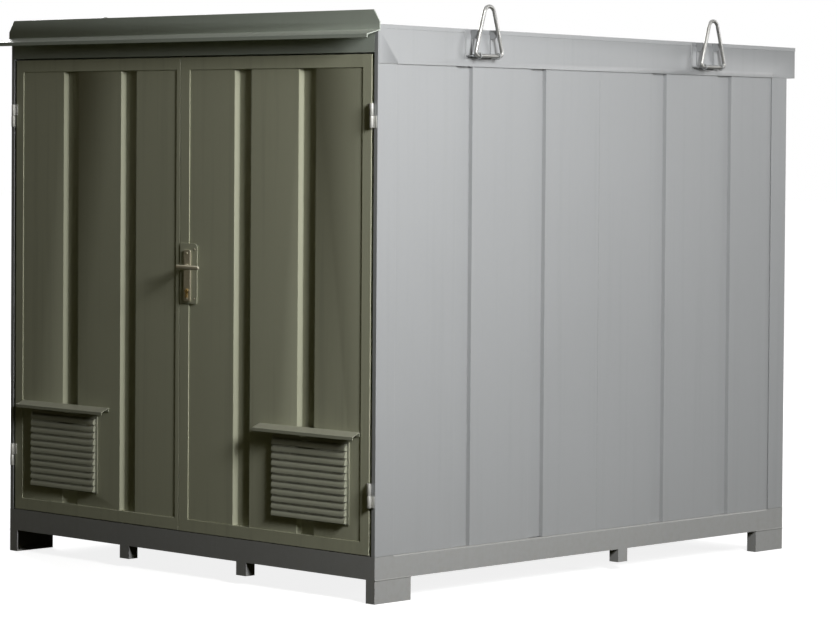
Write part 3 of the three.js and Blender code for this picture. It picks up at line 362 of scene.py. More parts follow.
def piece(bm, name, body, material, replaced=(), crease=30.0, recalculate=True):
    """Turns a bmesh into a finished object that rides on a body."""
    if recalculate:
        bmesh.ops.recalc_face_normals(bm, faces=bm.faces)
    mesh = bpy.data.meshes.new(name)
    bm.to_mesh(mesh)
    bm.free()
    mesh.shade_smooth()
    mesh.set_sharp_from_angle(angle=math.radians(crease))
    made = bpy.data.objects.new(name, mesh)
    bpy.context.scene.collection.objects.link(made)
    mesh.materials.append(materials[material])
    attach(made, body)
    if replaced:
        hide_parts(*replaced)
    return made


def fixture(bm, name, material, crease=30.0):
    """A finished piece that stays on the housing."""
    return piece(bm, name, "housing", material, crease=crease)


def remake(bm, cad_node, material, crease=30.0):
    """A finished piece that takes a CAD node's place, on the same body."""
    return piece(bm, f"{cad_node}_finished", body_of(cad_node), material,
                 replaced=[cad_node], crease=crease)


def body_of(cad_node):
    bodies = frame["record"]["behaviour"]["bodies"]
    return next(body for body, members in bodies.items() if cad_node in members)


def joint(name):
    found = next(row for row in frame["joints"] if row["name"] == name)
    return Vector(found["pos_m"])


def once(items):
    """A list without repeats, always in the same order."""
    return list(dict.fromkeys(items))


def edges_of(verts):
    return once(edge for vert in verts for edge in vert.link_edges)


def bevel(bm, edges, width, segments=2):
    bmesh.ops.bevel(bm, geom=edges, offset=width, offset_type="OFFSET", segments=segments, profile=0.5,
                    affect="EDGES", clamp_overlap=True, material=-1)


def add_box(bm, low, high, radius=0.0, segments=2):
    """A box between two corners, with rounded edges, added to a bmesh."""
    low, high = Vector(low), Vector(high)
    made = bmesh.ops.create_cube(bm, size=1.0)["verts"]
    bmesh.ops.scale(bm, vec=high - low, verts=made)
    bmesh.ops.translate(bm, vec=(low + high) / 2, verts=made)
    if radius:
        bevel(bm, edges_of(made), radius, segments)


TURNS = {
    "x": Matrix.Rotation(QUARTER, 4, "Y"),
    "y": Matrix.Rotation(-QUARTER, 4, "X"),
    "z": Matrix.Identity(4),
}


def add_rod(bm, start, axis, reach, radius, radius_end=None, sides=32, edge=0.0):
    """A round bar from a point along an axis, added to a bmesh."""
    end = radius if radius_end is None else radius_end
    made = bmesh.ops.create_cone(bm, cap_ends=True, segments=sides, radius1=radius, radius2=end,
                                 depth=abs(reach))
    along = TURNS[axis]
    if reach < 0:
        along = along @ Matrix.Rotation(math.pi, 4, "X")
    shift = Matrix.Translation(Vector(start)) @ along @ Matrix.Translation((0, 0, abs(reach) / 2))
    bmesh.ops.transform(bm, matrix=shift, verts=made["verts"])
    if edge:
        bevel(bm, [e for e in edges_of(made["verts"]) if e.calc_face_angle(0.0) > math.radians(40)], edge)


def add_turned(bm, centre, profile, sides=40):
    """A shape spun about a vertical axis from (radius, height) points, as the only shape of a bmesh."""
    verts = [bm.verts.new((radius, 0.0, height)) for radius, height in profile]
    edges = [bm.edges.new(pair) for pair in zip(verts, verts[1:])]
    bmesh.ops.spin(bm, geom=verts + edges, cent=(0, 0, 0), axis=(0, 0, 1), angle=2 * math.pi, steps=sides,
                   use_merge=True)
    bmesh.ops.remove_doubles(bm, verts=bm.verts, dist=TINY)
    bmesh.ops.translate(bm, vec=Vector(centre), verts=bm.verts)


def add_hex_bolt(bm, place, axis, across, height):
    """A hexagon head with a washer under it, standing on a face."""
    sign = -1 if height < 0 else 1
    washer = sign * abs(height) * 0.22
    add_rod(bm, place, axis, washer, across * 0.72, sides=24, edge=abs(washer) * 0.2)
    index = "xyz".index(axis)
    seat = Vector(place)
    seat[index] += washer
    add_rod(bm, seat, axis, height - washer, across / math.sqrt(3), sides=6, edge=across * 0.05)


def refined(cad_node, material, radius, segments=2):
    """A copy of a CAD node with its triangles joined up and its edges rounded."""
    bm = bmesh.new()
    bm.from_mesh(frame["nodes"][cad_node].data)
    bmesh.ops.remove_doubles(bm, verts=bm.verts, dist=1e-5)
    bmesh.ops.dissolve_limit(bm, angle_limit=math.radians(0.6), verts=bm.verts, edges=bm.edges)
    made = piece(bm, f"{cad_node}_finished", body_of(cad_node), material,
                 replaced=[cad_node], recalculate=False)
    edge = made.modifiers.new("edges", "BEVEL")
    edge.width = radius
    edge.segments = segments
    edge.limit_method = "ANGLE"
    edge.angle_limit = math.radians(28.0)
    edge.use_clamp_overlap = True
    edge.harden_normals = True
    return made


# ---------- operators ----------

class KIOSK_OT_housing(bpy.types.Operator):
    """Finish the folded walls, posts, lintel, roof, canopy and base channel, with their seams and welds"""
    bl_idname = "kiosk.housing"
    bl_label = "Housing"

    foot_top: length("Foot top", "Height where the feet meet the base channel", 0.082)
    front_foot: length("Front foot", "Length of a front foot", 0.178)
    rear_foot: length("Rear foot", "Length of a rear foot", 0.166)

    def execute(self, context):
        sizes = settings()[1]
        # The lintel and canopy take the front copy of the enamel, which carries painted light.
        for name in ("lintel", "canopy"):
            refined(name, "front", sizes.fold_radius)
        for name in ("rear_wall", "roof"):
            refined(name, "housing", sizes.fold_radius)
        for side in SIDES:
            for name in (f"front_post_{side}", f"rear_post_{side}", f"side_wall_{side}"):
                refined(name, "housing", sizes.fold_radius)
        refined("base_frame", "base", sizes.fold_radius)
        self.wall_seams()
        self.foot_welds(sizes.weld_width)
        return {"FINISHED"}

    def wall_seams(self):
        """A ground weld near the middle of each side wall, where its two sheets meet."""
        radius, behind_middle, reach = 0.000875, 0.027, 1.688
        bm = bmesh.new()
        for side in SIDES:
            low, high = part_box(f"side_wall_{side}")
            face = high.x if side == "right" else low.x
            middle = (low.y + high.y) / 2 + behind_middle
            add_rod(bm, (face, middle, low.z + 0.002), "z", reach, radius, sides=8)
        fixture(bm, "wall_seam_welds", "housing")

    def foot_welds(self, width):
        """A bead where each foot meets the base channel, on the housing's two long sides."""
        low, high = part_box("base_frame")
        bm = bmesh.new()
        for x in (low.x, high.x):
            for y, reach in ((low.y, self.front_foot), (high.y, -self.rear_foot)):
                add_rod(bm, (x, y, self.foot_top), "y", reach, width * 0.35, sides=10)
        fixture(bm, "foot_welds", "base", crease=60.0)


class KIOSK_OT_floor(bpy.types.Operator):
    """Finish the floor plate with its raised tread"""
    bl_idname = "kiosk.floor"
    bl_label = "Floor"

    opening: length("Opening", "Width of the two cable openings", 0.220)

    def execute(self, context):
        refined("floor_plate", "tread", 0.0006)
        base_low, base_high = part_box("base_frame")
        board_low, board_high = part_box("switchboard")
        bm = bmesh.new()
        self.membrane(bm, base_high.x - 0.1725, (board_low.y + board_high.y) / 2, 0.300)
        self.membrane(bm, base_low.x + 0.2425, base_high.y - 0.2945, 0.260)
        fixture(bm, "cable_entry_membranes", "rubber")
        return {"FINISHED"}

    def membrane(self, bm, x, y, depth):
        """A split rubber membrane with a raised rim, which closes a cable opening round its cables."""
        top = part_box("floor_plate")[1].z
        half_x, half_y = self.opening / 2 - 0.001, depth / 2 - 0.001
        leaf, rim, slit, leaf_edge, rim_edge = 0.003, 0.008, 0.0008, 0.0008, 0.0012
        inner_x, outer_y = half_x - rim, half_y + rim
        for side in (-1, 1):
            near, far = sorted((x + side * slit, x + side * half_x))
            edge_x, edge_y = x + side * half_x, y + side * half_y
            add_box(bm, (near, y - half_y, top - leaf), (far, y + half_y, top), leaf_edge)
            add_box(bm, (edge_x - rim, y - outer_y, top), (edge_x + rim, y + outer_y, top + leaf), rim_edge)
            add_box(bm, (x - inner_x, edge_y - rim, top), (x + inner_x, edge_y + rim, top + leaf), rim_edge)


class KIOSK_OT_doors(bpy.types.Operator):
    """Finish the door frames, pressed sheets, hoods and their seals"""
    bl_idname = "kiosk.doors"
    bl_label = "Doors"

    def execute(self, context):
        sizes = settings()[1]
        # The door and louvre copies of the enamel carry painted light: lighter and olive-tinted for the dim front.
        for side in SIDES:
            refined(f"door_frame_{side}", "door", sizes.fold_radius)
            refined(f"door_panel_{side}", "door", 0.0006)
            refined(f"louvre_hood_{side}", "louvre", 0.0009)
        self.seal(sizes.gasket)
        return {"FINISHED"}

    def seal(self, thickness):
        """A rubber strip on the door stops all round the doorway."""
        left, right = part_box("door_frame_left")[0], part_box("door_frame_right")[1]
        strip, inset, corner, near, far = 0.011, 0.002, 0.013, right.y + 0.0003, right.y + thickness
        bm = bmesh.new()
        for x in (left.x + 0.001, right.x - 0.001 - strip):
            add_box(bm, (x, near, left.z + inset), (x + strip, far, right.z - inset), 0.0012)
        for z in (left.z + inset, right.z - inset - strip):
            add_box(bm, (left.x + corner, near, z), (right.x - corner, far, z + strip), 0.0012)
        fixture(bm, "doorway_seal", "rubber")


class KIOSK_OT_louvres(bpy.types.Operator):
    """Build the louvres: a frame plate and rounded blades with closed ends"""
    bl_idname = "kiosk.louvres"
    bl_label = "Louvres"

    pitch: length("Pitch", "Distance between blades", 0.0254)
    blades: IntProperty(name="Blades", description="Number of blades", default=11, min=1)
    border: length("Border", "Width of the frame plate around the blades", 0.011)
    plate: length("Plate", "Thickness of the frame plate", 0.0025)
    rise: length("Rise", "Height of one blade", 0.023)

    def execute(self, context):
        sheet = settings()[1].blade_sheet
        for side in SIDES:
            cad = f"door_louvre_{side}"
            low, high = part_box(cad)
            bm = bmesh.new()
            face = high.y - self.plate
            bulge = face - low.y
            inner = (low.x + self.border, high.x - self.border)
            starts = [low.z + self.border / 2 + i * self.pitch for i in range(self.blades)]
            self.frame_plate(bm, low, high, face, inner, starts)
            for start in starts:
                self.blade(bm, inner, face, start, bulge, sheet)
            # The louvre copy of the enamel carries painted light and a painted shade.
            remake(bm, cad, "louvre")
        return {"FINISHED"}

    def frame_plate(self, bm, low, high, face, inner, starts):
        for x in ((low.x, inner[0] + 0.001), (inner[1] - 0.001, high.x)):
            add_box(bm, (x[0], face, low.z), (x[1], high.y, high.z), 0.0006)
        levels = [low.z] + [z + 0.015 for z in starts]
        for level, start in zip(levels, starts + [high.z]):
            add_box(bm, (inner[0] - 0.002, face, level), (inner[1] + 0.002, high.y, start + 0.003), 0.0005)

    def blade(self, bm, inner, face, start, bulge, sheet):
        """Spins the blade's lip up to the plate, then gives it its thickness and ends."""
        kept = set(bm.verts)
        lip = [bm.verts.new((x, -bulge, 0.0)) for x in inner]
        edge = bm.edges.new(lip)
        bmesh.ops.spin(bm, geom=[*lip, edge], cent=(0, 0, 0), axis=(1, 0, 0), angle=-QUARTER, steps=10)
        bmesh.ops.remove_doubles(bm, verts=[v for v in bm.verts if v not in kept], dist=TINY)
        shell = [v for v in bm.verts if v not in kept]
        for x in inner:
            rim = [e for e in edges_of(shell) if all(abs(v.co.x - x) < TINY for v in e.verts)]
            corner = bm.verts.new((x, 0.0, 0.0))
            for e in rim:
                bm.faces.new((*e.verts, corner))
        fresh = [v for v in bm.verts if v not in kept]
        faces = once(f for v in fresh for f in v.link_faces)
        bmesh.ops.recalc_face_normals(bm, faces=faces)
        if sum(f.normal.y for f in faces) > 0:
            bmesh.ops.reverse_faces(bm, faces=faces)
        bmesh.ops.solidify(bm, geom=faces, thickness=sheet)
        fresh = [v for v in bm.verts if v not in kept]
        bmesh.ops.scale(bm, vec=(1.0, 1.0, self.rise / bulge), verts=fresh)
        bmesh.ops.translate(bm, vec=(0.0, face, start), verts=fresh)


class KIOSK_OT_lifting_rings(bpy.types.Operator):
    """Bend the lifting rings from round bar, and finish and weld their brackets"""
    bl_idname = "kiosk.lifting_rings"
    bl_label = "Lifting rings"

    corner: length("Corner radius", "Bend of the two lower corners, at the bar's middle", 0.013)
    apex: length("Apex radius", "Bend of the top, at the bar's middle", 0.026)

    def execute(self, context):
        sizes = settings()[1]
        for end in ENDS:
            for side in SIDES:
                cad = f"lifting_ring_{end}_{side}"
                bm = bmesh.new()
                self.bend(bm, *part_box(cad), sizes.ring_segments)
                remake(bm, cad, "ring", crease=50.0)
                bracket = f"ring_bracket_{end}_{side}"
                refined(bracket, "housing", sizes.plate_edge)
                self.weld(bracket, sizes.weld_width)
        return {"FINISHED"}

    def bend(self, bm, low, high, segments):
        """Carries a circle along the straight runs and bends of the ring."""
        radius = (high.x - low.x) / 2
        centre = (low + high) / 2
        half = (high.y - low.y) / 2 - radius
        rise = high.z - low.z - 2 * radius
        corner_y = half - self.corner
        apex_z = rise - self.apex
        run = math.hypot(corner_y, apex_z - self.corner)
        lean = math.atan2(corner_y, apex_z - self.corner) - math.asin((self.apex - self.corner) / run)
        leg = math.sqrt(run ** 2 - (self.apex - self.corner) ** 2)
        base = Vector((centre.x, centre.y, low.z + radius))
        made = bmesh.ops.create_circle(bm, cap_ends=False, segments=segments, radius=radius)
        bmesh.ops.transform(bm, matrix=Matrix.Translation(base) @ TURNS["y"], verts=made["verts"])
        rim = edges_of(made["verts"])
        up = Vector((0.0, -math.sin(lean), math.cos(lean)))
        down = Vector((0.0, -math.sin(lean), -math.cos(lean)))
        across = Vector((0.0, 1.0, 0.0))
        rim = self.straight(bm, rim, across * corner_y)
        rim = self.turn(bm, rim, base + Vector((0.0, corner_y, self.corner)), QUARTER + lean, 10)
        rim = self.straight(bm, rim, up * leg)
        rim = self.turn(bm, rim, base + Vector((0.0, 0.0, apex_z)), math.pi - 2 * lean, 16)
        rim = self.straight(bm, rim, down * leg)
        rim = self.turn(bm, rim, base + Vector((0.0, -corner_y, self.corner)), QUARTER + lean, 10)
        self.straight(bm, rim, across * corner_y)
        bmesh.ops.remove_doubles(bm, verts=bm.verts, dist=1e-4)

    def straight(self, bm, rim, move):
        made = bmesh.ops.extrude_edge_only(bm, edges=rim)["geom"]
        bmesh.ops.translate(bm, vec=move, verts=[g for g in made if isinstance(g, bmesh.types.BMVert)])
        return [g for g in made if isinstance(g, bmesh.types.BMEdge) and all(v in made for v in g.verts)]

    def turn(self, bm, rim, centre, angle, steps):
        verts = once(v for e in rim for v in e.verts)
        made = bmesh.ops.spin(bm, geom=verts + rim, cent=centre, axis=(1, 0, 0), angle=angle, steps=steps)
        return [g for g in made["geom_last"] if isinstance(g, bmesh.types.BMEdge)]

    def weld(self, bracket, width):
        """Fillet welds down both ends of the bracket's back plate."""
        low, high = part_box(bracket)
        outward = 1 if low.x > 0 else -1
        root = low.x if outward > 0 else high.x
        bm = bmesh.new()
        for y in (low.y, high.y):
            beads = int((high.z - low.z) / (width * 0.7))
            for i in range(beads):
                start = low.z + (i + 0.5) * (high.z - low.z) / beads - width * 0.45
                add_rod(bm, (root, y, start), "z", width * 0.9, width * 0.5, width * 0.36, sides=10)
        fixture(bm, f"{bracket}_welds", "housing", crease=60.0)


class KIOSK_OT_hinges(bpy.types.Operator):
    """Turn the barrel hinges"""
    bl_idname = "kiosk.hinges"
    bl_label = "Hinges"

    def execute(self, context):
        for side in SIDES:
            axis = joint(f"{side}_door_hinge")
            for level in ("lower", "upper"):
                for half in ("post", "door"):
                    self.knuckle(f"{level}_hinge_{half}_half_{side}", axis, half)
        return {"FINISHED"}

    def knuckle(self, cad, axis, half):
        """A barrel with its leaf: the post half carries the pin, the door half drops over it."""
        low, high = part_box(cad)
        post_barrel, leaf, gap = 0.042, 0.003, 0.0002
        barrel = min(axis.y - low.y, high.y - axis.y)
        top = high.z if half == "door" else low.z + post_barrel
        bm = bmesh.new()
        add_rod(bm, (axis.x, axis.y, low.z), "z", top - low.z, barrel, sides=40, edge=0.0012)
        if half == "post":
            pin = (axis.x, axis.y, top - 0.002)
            add_rod(bm, pin, "z", high.z - top, barrel * 0.53, sides=24, edge=0.0006)
        else:
            add_rod(bm, (axis.x, axis.y, top - 0.001), "z", 0.001, barrel * 0.7, sides=32)
        reach = low.x if abs(low.x - axis.x) > abs(high.x - axis.x) else high.x
        near, far = sorted((reach, axis.x))
        add_box(bm, (near, high.y - leaf, low.z + gap), (far, high.y, top - gap), 0.0007)
        remake(bm, cad, "hinge")


class KIOSK_OT_lock(bpy.types.Operator):
    """Finish the lock: plate, escutcheon, lever, cylinder, case and latch"""
    bl_idname = "kiosk.lock"
    bl_label = "Lock"

    def execute(self, context):
        # The lock plate takes the door copy of the enamel, which carries painted light.
        refined("lock_plate", "door", 0.0008, segments=3)
        refined("escutcheon", "steel", 0.0018, segments=4)
        refined("lock_cylinder", "brass", 0.0005)
        refined("key_plug", "brass", 0.0004)
        refined("lock_case", "zinc", 0.0006)
        refined("latch_bolt", "steel", 0.0009, segments=3)
        self.lever()
        self.screws()
        return {"FINISHED"}

    def lever(self):
        """A rose, a neck, a grip that narrows towards its end, and the square spindle through the door."""
        low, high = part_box("lever_handle")
        turn = joint("lever_turn")
        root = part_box("escutcheon")[0].y - 0.0003
        grip_depth, half, spindle, narrowing = 0.011, 0.0095, 0.004, 0.22
        bm = bmesh.new()
        add_rod(bm, (turn.x, root, turn.z), "y", -0.005, 0.0113, sides=40, edge=0.0012)
        add_rod(bm, (turn.x, root - 0.003, turn.z), "y", low.y + 0.004 - root + 0.003, 0.0072, sides=32)
        grip_back = low.y + grip_depth
        add_box(bm, (turn.x - 0.0092, low.y, turn.z - half), (high.x, grip_back, turn.z + half), 0.0052, 5)
        for vert in bm.verts:
            along = (vert.co.x - turn.x) / (high.x - turn.x)
            if vert.co.y < grip_back + TINY and along > 0:
                vert.co.z = turn.z + (vert.co.z - turn.z) * (1 - narrowing * along ** 2)
        add_box(bm, (turn.x - spindle, root - 0.002, turn.z - spindle),
                (turn.x + spindle, high.y, turn.z + spindle), 0.0004)
        remake(bm, "lever_handle", "steel", crease=40.0)

    def screws(self):
        """Two slotted screws in the escutcheon and two domed ones in the lock plate."""
        low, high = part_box("escutcheon")
        middle, slot_half, slot_width = (low.x + high.x) / 2, 0.0032, 0.0004
        bm = bmesh.new()
        for z in (low.z + 0.010, high.z - 0.012):
            add_rod(bm, (middle, low.y + 0.0004, z), "y", -0.0022, 0.0042, 0.0030, sides=28, edge=0.0005)
            add_box(bm, (middle - slot_half, low.y - 0.0022, z - slot_width),
                    (middle + slot_half, low.y - 0.0017, z + slot_width))
        low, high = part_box("lock_plate")
        for z in (low.z + 0.018, high.z - 0.022):
            place = (high.x - 0.014, low.y + 0.0003, z)
            add_rod(bm, place, "y", -0.0016, 0.0042, 0.0028, sides=24, edge=0.0004)
        piece(bm, "lock_screws", "right_door", "steel")


class KIOSK_OT_shoot_bolts(bpy.types.Operator):
    """Finish the passive leaf's shoot bolts and add their guides"""
    bl_idname = "kiosk.shoot_bolts"
    bl_label = "Shoot bolts"

    def execute(self, context):
        wall, gap, half_height, from_end = 0.0022, 0.0006, 0.009, 0.05
        bm = bmesh.new()
        for name in ("top", "bottom"):
            cad = f"shoot_bolt_{name}"
            refined(cad, "zinc", 0.0009)
            low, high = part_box(cad)
            rod_low = high.y - 0.0305
            near, far = rod_low - 0.001, rod_low + 0.0125
            left, right = low.x - gap - wall, high.x + gap
            for z in (low.z + from_end, high.z - from_end):
                bottom, top = z - half_height, z + half_height
                for x in (left, right):
                    add_box(bm, (x, near, bottom), (x + wall, far, top), gap)
                add_box(bm, (left, rod_low - 0.0035, bottom), (right + wall, near, top), gap)
        piece(bm, "shoot_bolt_guides", "left_door", "zinc")
        return {"FINISHED"}


class KIOSK_OT_transformer(bpy.types.Operator):
    """Finish the transformer: tank, lid, bushings, bolts, gauge and valve"""
    bl_idname = "kiosk.transformer"
    bl_label = "Transformer"

    def execute(self, context):
        refined("transformer_tank", "tank", 0.0012)
        refined("tank_lid", "tank", 0.0015)
        core = frame["nodes"]["magnetic_core"].data.materials
        core.clear()
        core.append(materials["core"])
        for i in (1, 2, 3):
            winding = frame["nodes"][f"phase_winding_{i}"].data.materials
            winding.clear()
            winding.append(materials["winding"])
            sheds = (0.070, 0.120, 0.170, 0.220)
            self.bushing(f"high_voltage_bushing_{i}", sheds, 0.058, 0.058, 0.034, 0.262)
        for i in (1, 2, 3, 4):
            self.bushing(f"low_voltage_bushing_{i}", (0.060,), 0.036, 0.040, 0.024, 0.092)
        self.lid_bolts(settings()[1].tank_bolt)
        self.fittings()
        return {"FINISHED"}

    def bushing(self, cad, sheds, shed_radius, flange, body, body_top):
        """A glazed insulator turned with its flange and sheds, and the threaded stud on top."""
        low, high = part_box(cad)
        fit, neck = 0.965, 0.018
        x, y = (low.x + high.x) / 2, (low.y + high.y) / 2
        flange, shed = flange * fit, shed_radius * fit
        profile = [(0.0, 0.0), (flange, 0.0), (flange, 0.011), (flange - 0.003, 0.014), (body, neck)]
        for z in sheds:
            profile += [(body, z - 0.008), (shed - 0.003, z - 0.0045), (shed, z - 0.002),
                        (shed - 0.002, z + 0.001), (body + 0.008, z + 0.009), (body, z + 0.016)]
        profile += [(body, body_top - 0.004), (body - 0.004, body_top), (0.0, body_top)]
        bm = bmesh.new()
        add_turned(bm, (x, y, low.z), profile, sides=48)
        remake(bm, cad, "porcelain", crease=35.0)
        top = low.z + body_top
        bm = bmesh.new()
        add_rod(bm, (x, y, top - 0.002), "z", high.z - top, 0.0078, sides=24, edge=0.0008)
        for level in (0.004, 0.020):
            add_rod(bm, (x, y, top + level), "z", 0.008, 0.0145, sides=6, edge=0.0006)
        add_rod(bm, (x, y, top), "z", 0.003, 0.018, sides=32, edge=0.0005)
        fixture(bm, f"{cad}_terminal", "brass")

    def lid_bolts(self, across):
        """Hexagon bolts all round the lid's edge."""
        low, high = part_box("tank_lid")
        inset, count_x, count_y = 0.016, 12, 5
        step_x = (high.x - low.x - 2 * inset) / (count_x - 1)
        step_y = (high.y - low.y - 2 * inset) / (count_y - 1)
        bm = bmesh.new()
        for i in range(count_x):
            for j in range(count_y):
                if i in (0, count_x - 1) or j in (0, count_y - 1):
                    place = (low.x + inset + i * step_x, low.y + inset + j * step_y, high.z)
                    add_hex_bolt(bm, place, "z", across * 0.9, 0.009)
        fixture(bm, "lid_bolts", "zinc")

    def fittings(self):
        """The lid's lifting lugs, filler, tap changer and gauge, and the tank's drain valve."""
        low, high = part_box("tank_lid")
        y, top = (low.y + high.y) / 2, high.z
        filler_x, changer_x, lug_inset = high.x - 0.26, low.x + 0.26, 0.14
        bm = bmesh.new()
        for x in (low.x + lug_inset, high.x - lug_inset):
            add_box(bm, (x - 0.006, y - 0.035, top), (x + 0.006, y + 0.035, top + 0.060), 0.004)
        add_rod(bm, (filler_x, y, top), "z", 0.070, 0.022, sides=36, edge=0.002)
        fixture(bm, "tank_lifting_lugs_and_filler", "tank")
        bm = bmesh.new()
        add_rod(bm, (filler_x, y, top + 0.070), "z", 0.014, 0.028, sides=8, edge=0.002)
        add_rod(bm, (changer_x, y, top), "z", 0.030, 0.030, sides=36, edge=0.003)
        fixture(bm, "filler_cap_and_tap_changer_boss", "zinc")
        bm = bmesh.new()
        add_rod(bm, (changer_x, y, top + 0.030), "z", 0.018, 0.022, 0.018, sides=12, edge=0.002)
        fixture(bm, "tap_changer_knob", "black")
        self.gauge((low.x + high.x) / 2, low.y + 0.060, top)
        self.drain_valve(*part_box("transformer_tank"))

    def gauge(self, x, y, foot):
        """A magnetic oil gauge on the lid's front edge, with plain ticks and no lettering."""
        centre, tick_radius, ticks, tick_step = foot + 0.085, 0.026, 9, 15
        bm = bmesh.new()
        add_rod(bm, (x, y, foot), "z", 0.055, 0.012, sides=24)
        add_rod(bm, (x, y + 0.018, centre), "y", -0.036, 0.042, sides=48, edge=0.003)
        fixture(bm, "oil_gauge_body", "black")
        bm = bmesh.new()
        add_rod(bm, (x, y - 0.018, centre), "y", -0.002, 0.035, sides=48, edge=0.0005)
        fixture(bm, "oil_gauge_dial", "blank")
        bm = bmesh.new()
        for i in range(ticks):
            angle = math.radians(tick_step * (i - ticks // 2))
            across, up = tick_radius * math.sin(angle), tick_radius * math.cos(angle)
            add_rod(bm, (x + across, y - 0.0205, centre + up), "y", -0.0006, 0.0012, sides=8)
        add_box(bm, (x - 0.001, y - 0.0212, centre), (x + 0.001, y - 0.0202, centre + 0.023), 0.0003)
        fixture(bm, "oil_gauge_pointer", "black")

    def drain_valve(self, low, high):
        x, z = (low.x + high.x) / 2 + 0.024, low.z + 0.185
        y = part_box("magnetic_core")[0].y - 0.132
        stem_y = y - 0.016
        bm = bmesh.new()
        add_rod(bm, (x, y, z), "y", -0.030, 0.020, sides=32, edge=0.002)
        add_rod(bm, (x, y - 0.030, z), "y", -0.022, 0.015, sides=6, edge=0.001)
        add_rod(bm, (x, stem_y, z + 0.012), "z", 0.028, 0.007, sides=20)
        fixture(bm, "drain_valve", "brass")
        bm = bmesh.new()
        add_rod(bm, (x, stem_y, z + 0.040), "z", 0.007, 0.022, sides=10, edge=0.002)
        fixture(bm, "drain_valve_wheel", "red")


class KIOSK_OT_busbars(bpy.types.Operator):
    """Run the low-voltage bars from the bushings to the switchboard"""
    bl_idname = "kiosk.busbars"
    bl_label = "Busbars"

    def execute(self, context):
        sizes = settings()[1]
        board_low, board_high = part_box("switchboard")
        half, thick = sizes.busbar_width / 2, sizes.busbar_thickness
        pitch_z, pitch_x, edge, pad, riser = 0.042, 0.045, 0.0008, 0.019, 0.013
        for i in range(4):
            low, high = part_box(f"low_voltage_bushing_{i + 1}")
            x, y = (low.x + high.x) / 2, (low.y + high.y) / 2
            near, far = y - half, y + half
            foot, level = high.z - 0.012, high.z + 0.020 + (3 - i) * pitch_z
            turn_x = board_low.x + 0.05 + i * pitch_x
            bm = bmesh.new()
            add_box(bm, (x - pad, near, foot), (x + pad, far, foot + thick), edge)
            add_box(bm, (x + riser, near, foot), (x + riser + thick, far, level + thick), edge)
            add_box(bm, (x + riser, near, level), (turn_x + half, far, level + thick), edge)
            add_box(bm, (turn_x - half, board_high.y + 0.006, level + thick),
                    (turn_x + half, far, level + 2 * thick), edge)
            fixture(bm, f"low_voltage_bar_{i + 1}", "copper")
            bm = bmesh.new()
            add_hex_bolt(bm, (turn_x, y, level + 2 * thick), "z", 0.017, 0.008)
            fixture(bm, f"low_voltage_bar_{i + 1}_bolt", "zinc")
        self.entry(board_low, board_high)
        return {"FINISHED"}

    def entry(self, low, high):
        """An insulating plate where the bars enter the switchboard."""
        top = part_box("low_voltage_bushing_1")[1].z
        bm = bmesh.new()
        add_box(bm, (low.x + 0.014, high.y, top - 0.02), (low.x + 0.222, high.y + 0.006, top + 0.20), 0.0015)
        fixture(bm, "bar_entry_plate", "black")


class KIOSK_OT_switchboard(bpy.types.Operator):
    """Finish the switchboard: cover, breakers' cover plates, handle and dial"""
    bl_idname = "kiosk.switchboard"
    bl_label = "Switchboard"

    def execute(self, context):
        refined("switchboard", "board", 0.0018, segments=3)
        refined("main_switch_handle", "black", 0.0035, segments=3)
        low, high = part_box("switchboard")
        turn = joint("main_switch_turn")
        self.cover(low, high)
        self.dial(low, turn)
        return {"FINISHED"}

    def cover(self, low, high):
        """Two screwed cover plates, and four fuse covers with their pulls on the lower one."""
        margin, gap, corner, edge = 0.03, 0.006, 0.014, 0.004
        split = low.z + 0.42
        near, far = low.y + margin, high.y - margin
        bm = bmesh.new()
        for bottom, top in ((low.z + margin, split - gap), (split + gap, high.z - margin)):
            add_box(bm, (low.x - 0.0022, near, bottom), (low.x - 0.0001, far, top), 0.0009)
        fixture(bm, "switchboard_covers", "board")
        bm = bmesh.new()
        for z in (low.z + margin + corner, split - 0.020, split + 0.020, high.z - margin - corner):
            for y in (near + corner, far - corner):
                add_rod(bm, (low.x - 0.002, y, z), "x", -0.003, 0.0055, 0.0040, sides=24, edge=0.0005)
        fixture(bm, "switchboard_cover_screws", "zinc")
        bm = bmesh.new()
        for i in range(4):
            y = low.y + 0.10 + i * 0.133
            for outer, inner, half, bottom, top in ((0.014, 0.002, 0.045, 0.10, 0.34),
                                                    (0.026, 0.012, 0.012, 0.27, 0.32)):
                add_box(bm, (low.x - outer, y - half, low.z + bottom), (low.x - inner, y + half, low.z + top),
                        edge, 3)
        fixture(bm, "outgoing_fuse_covers", "black")

    def dial(self, low, turn):
        """A round dial behind the handle, with a mark at each end of its quarter turn."""
        mark_circle = 0.046
        bm = bmesh.new()
        add_rod(bm, (low.x - 0.00005, turn.y, turn.z), "x", -0.0024, 0.055, sides=56, edge=0.0006)
        fixture(bm, "switch_dial", "blank")
        bm = bmesh.new()
        for angle in (0.0, -QUARTER):
            y, z = turn.y + mark_circle * math.sin(angle), turn.z + mark_circle * math.cos(angle)
            add_rod(bm, (low.x - 0.0024, y, z), "x", -0.0006, 0.003, sides=20)
        fixture(bm, "switch_dial_marks", "red")


class KIOSK_OT_earthing(bpy.types.Operator):
    """Add the earth bar on the rear wall"""
    bl_idname = "kiosk.earthing"
    bl_label = "Earthing"

    def execute(self, context):
        low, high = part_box("rear_wall")
        bottom, half_height, thick, bolts = 0.32, 0.020, 0.005, 9
        y, middle = low.y - 0.016, bottom + half_height
        bm = bmesh.new()
        add_box(bm, (low.x + 0.35, y - thick, bottom), (high.x - 0.35, y, middle + half_height), 0.0008)
        fixture(bm, "earth_bar", "copper")
        bm = bmesh.new()
        for i in range(bolts):
            x = low.x + 0.42 + i * (high.x - low.x - 0.84) / (bolts - 1)
            add_hex_bolt(bm, (x, y - thick, middle), "y", 0.015, -0.009)
        for x in (low.x + 0.40, high.x - 0.40):
            add_rod(bm, (x, y, middle), "y", 0.0155, 0.011, sides=24)
        fixture(bm, "earth_bar_bolts", "zinc")
        return {"FINISHED"}


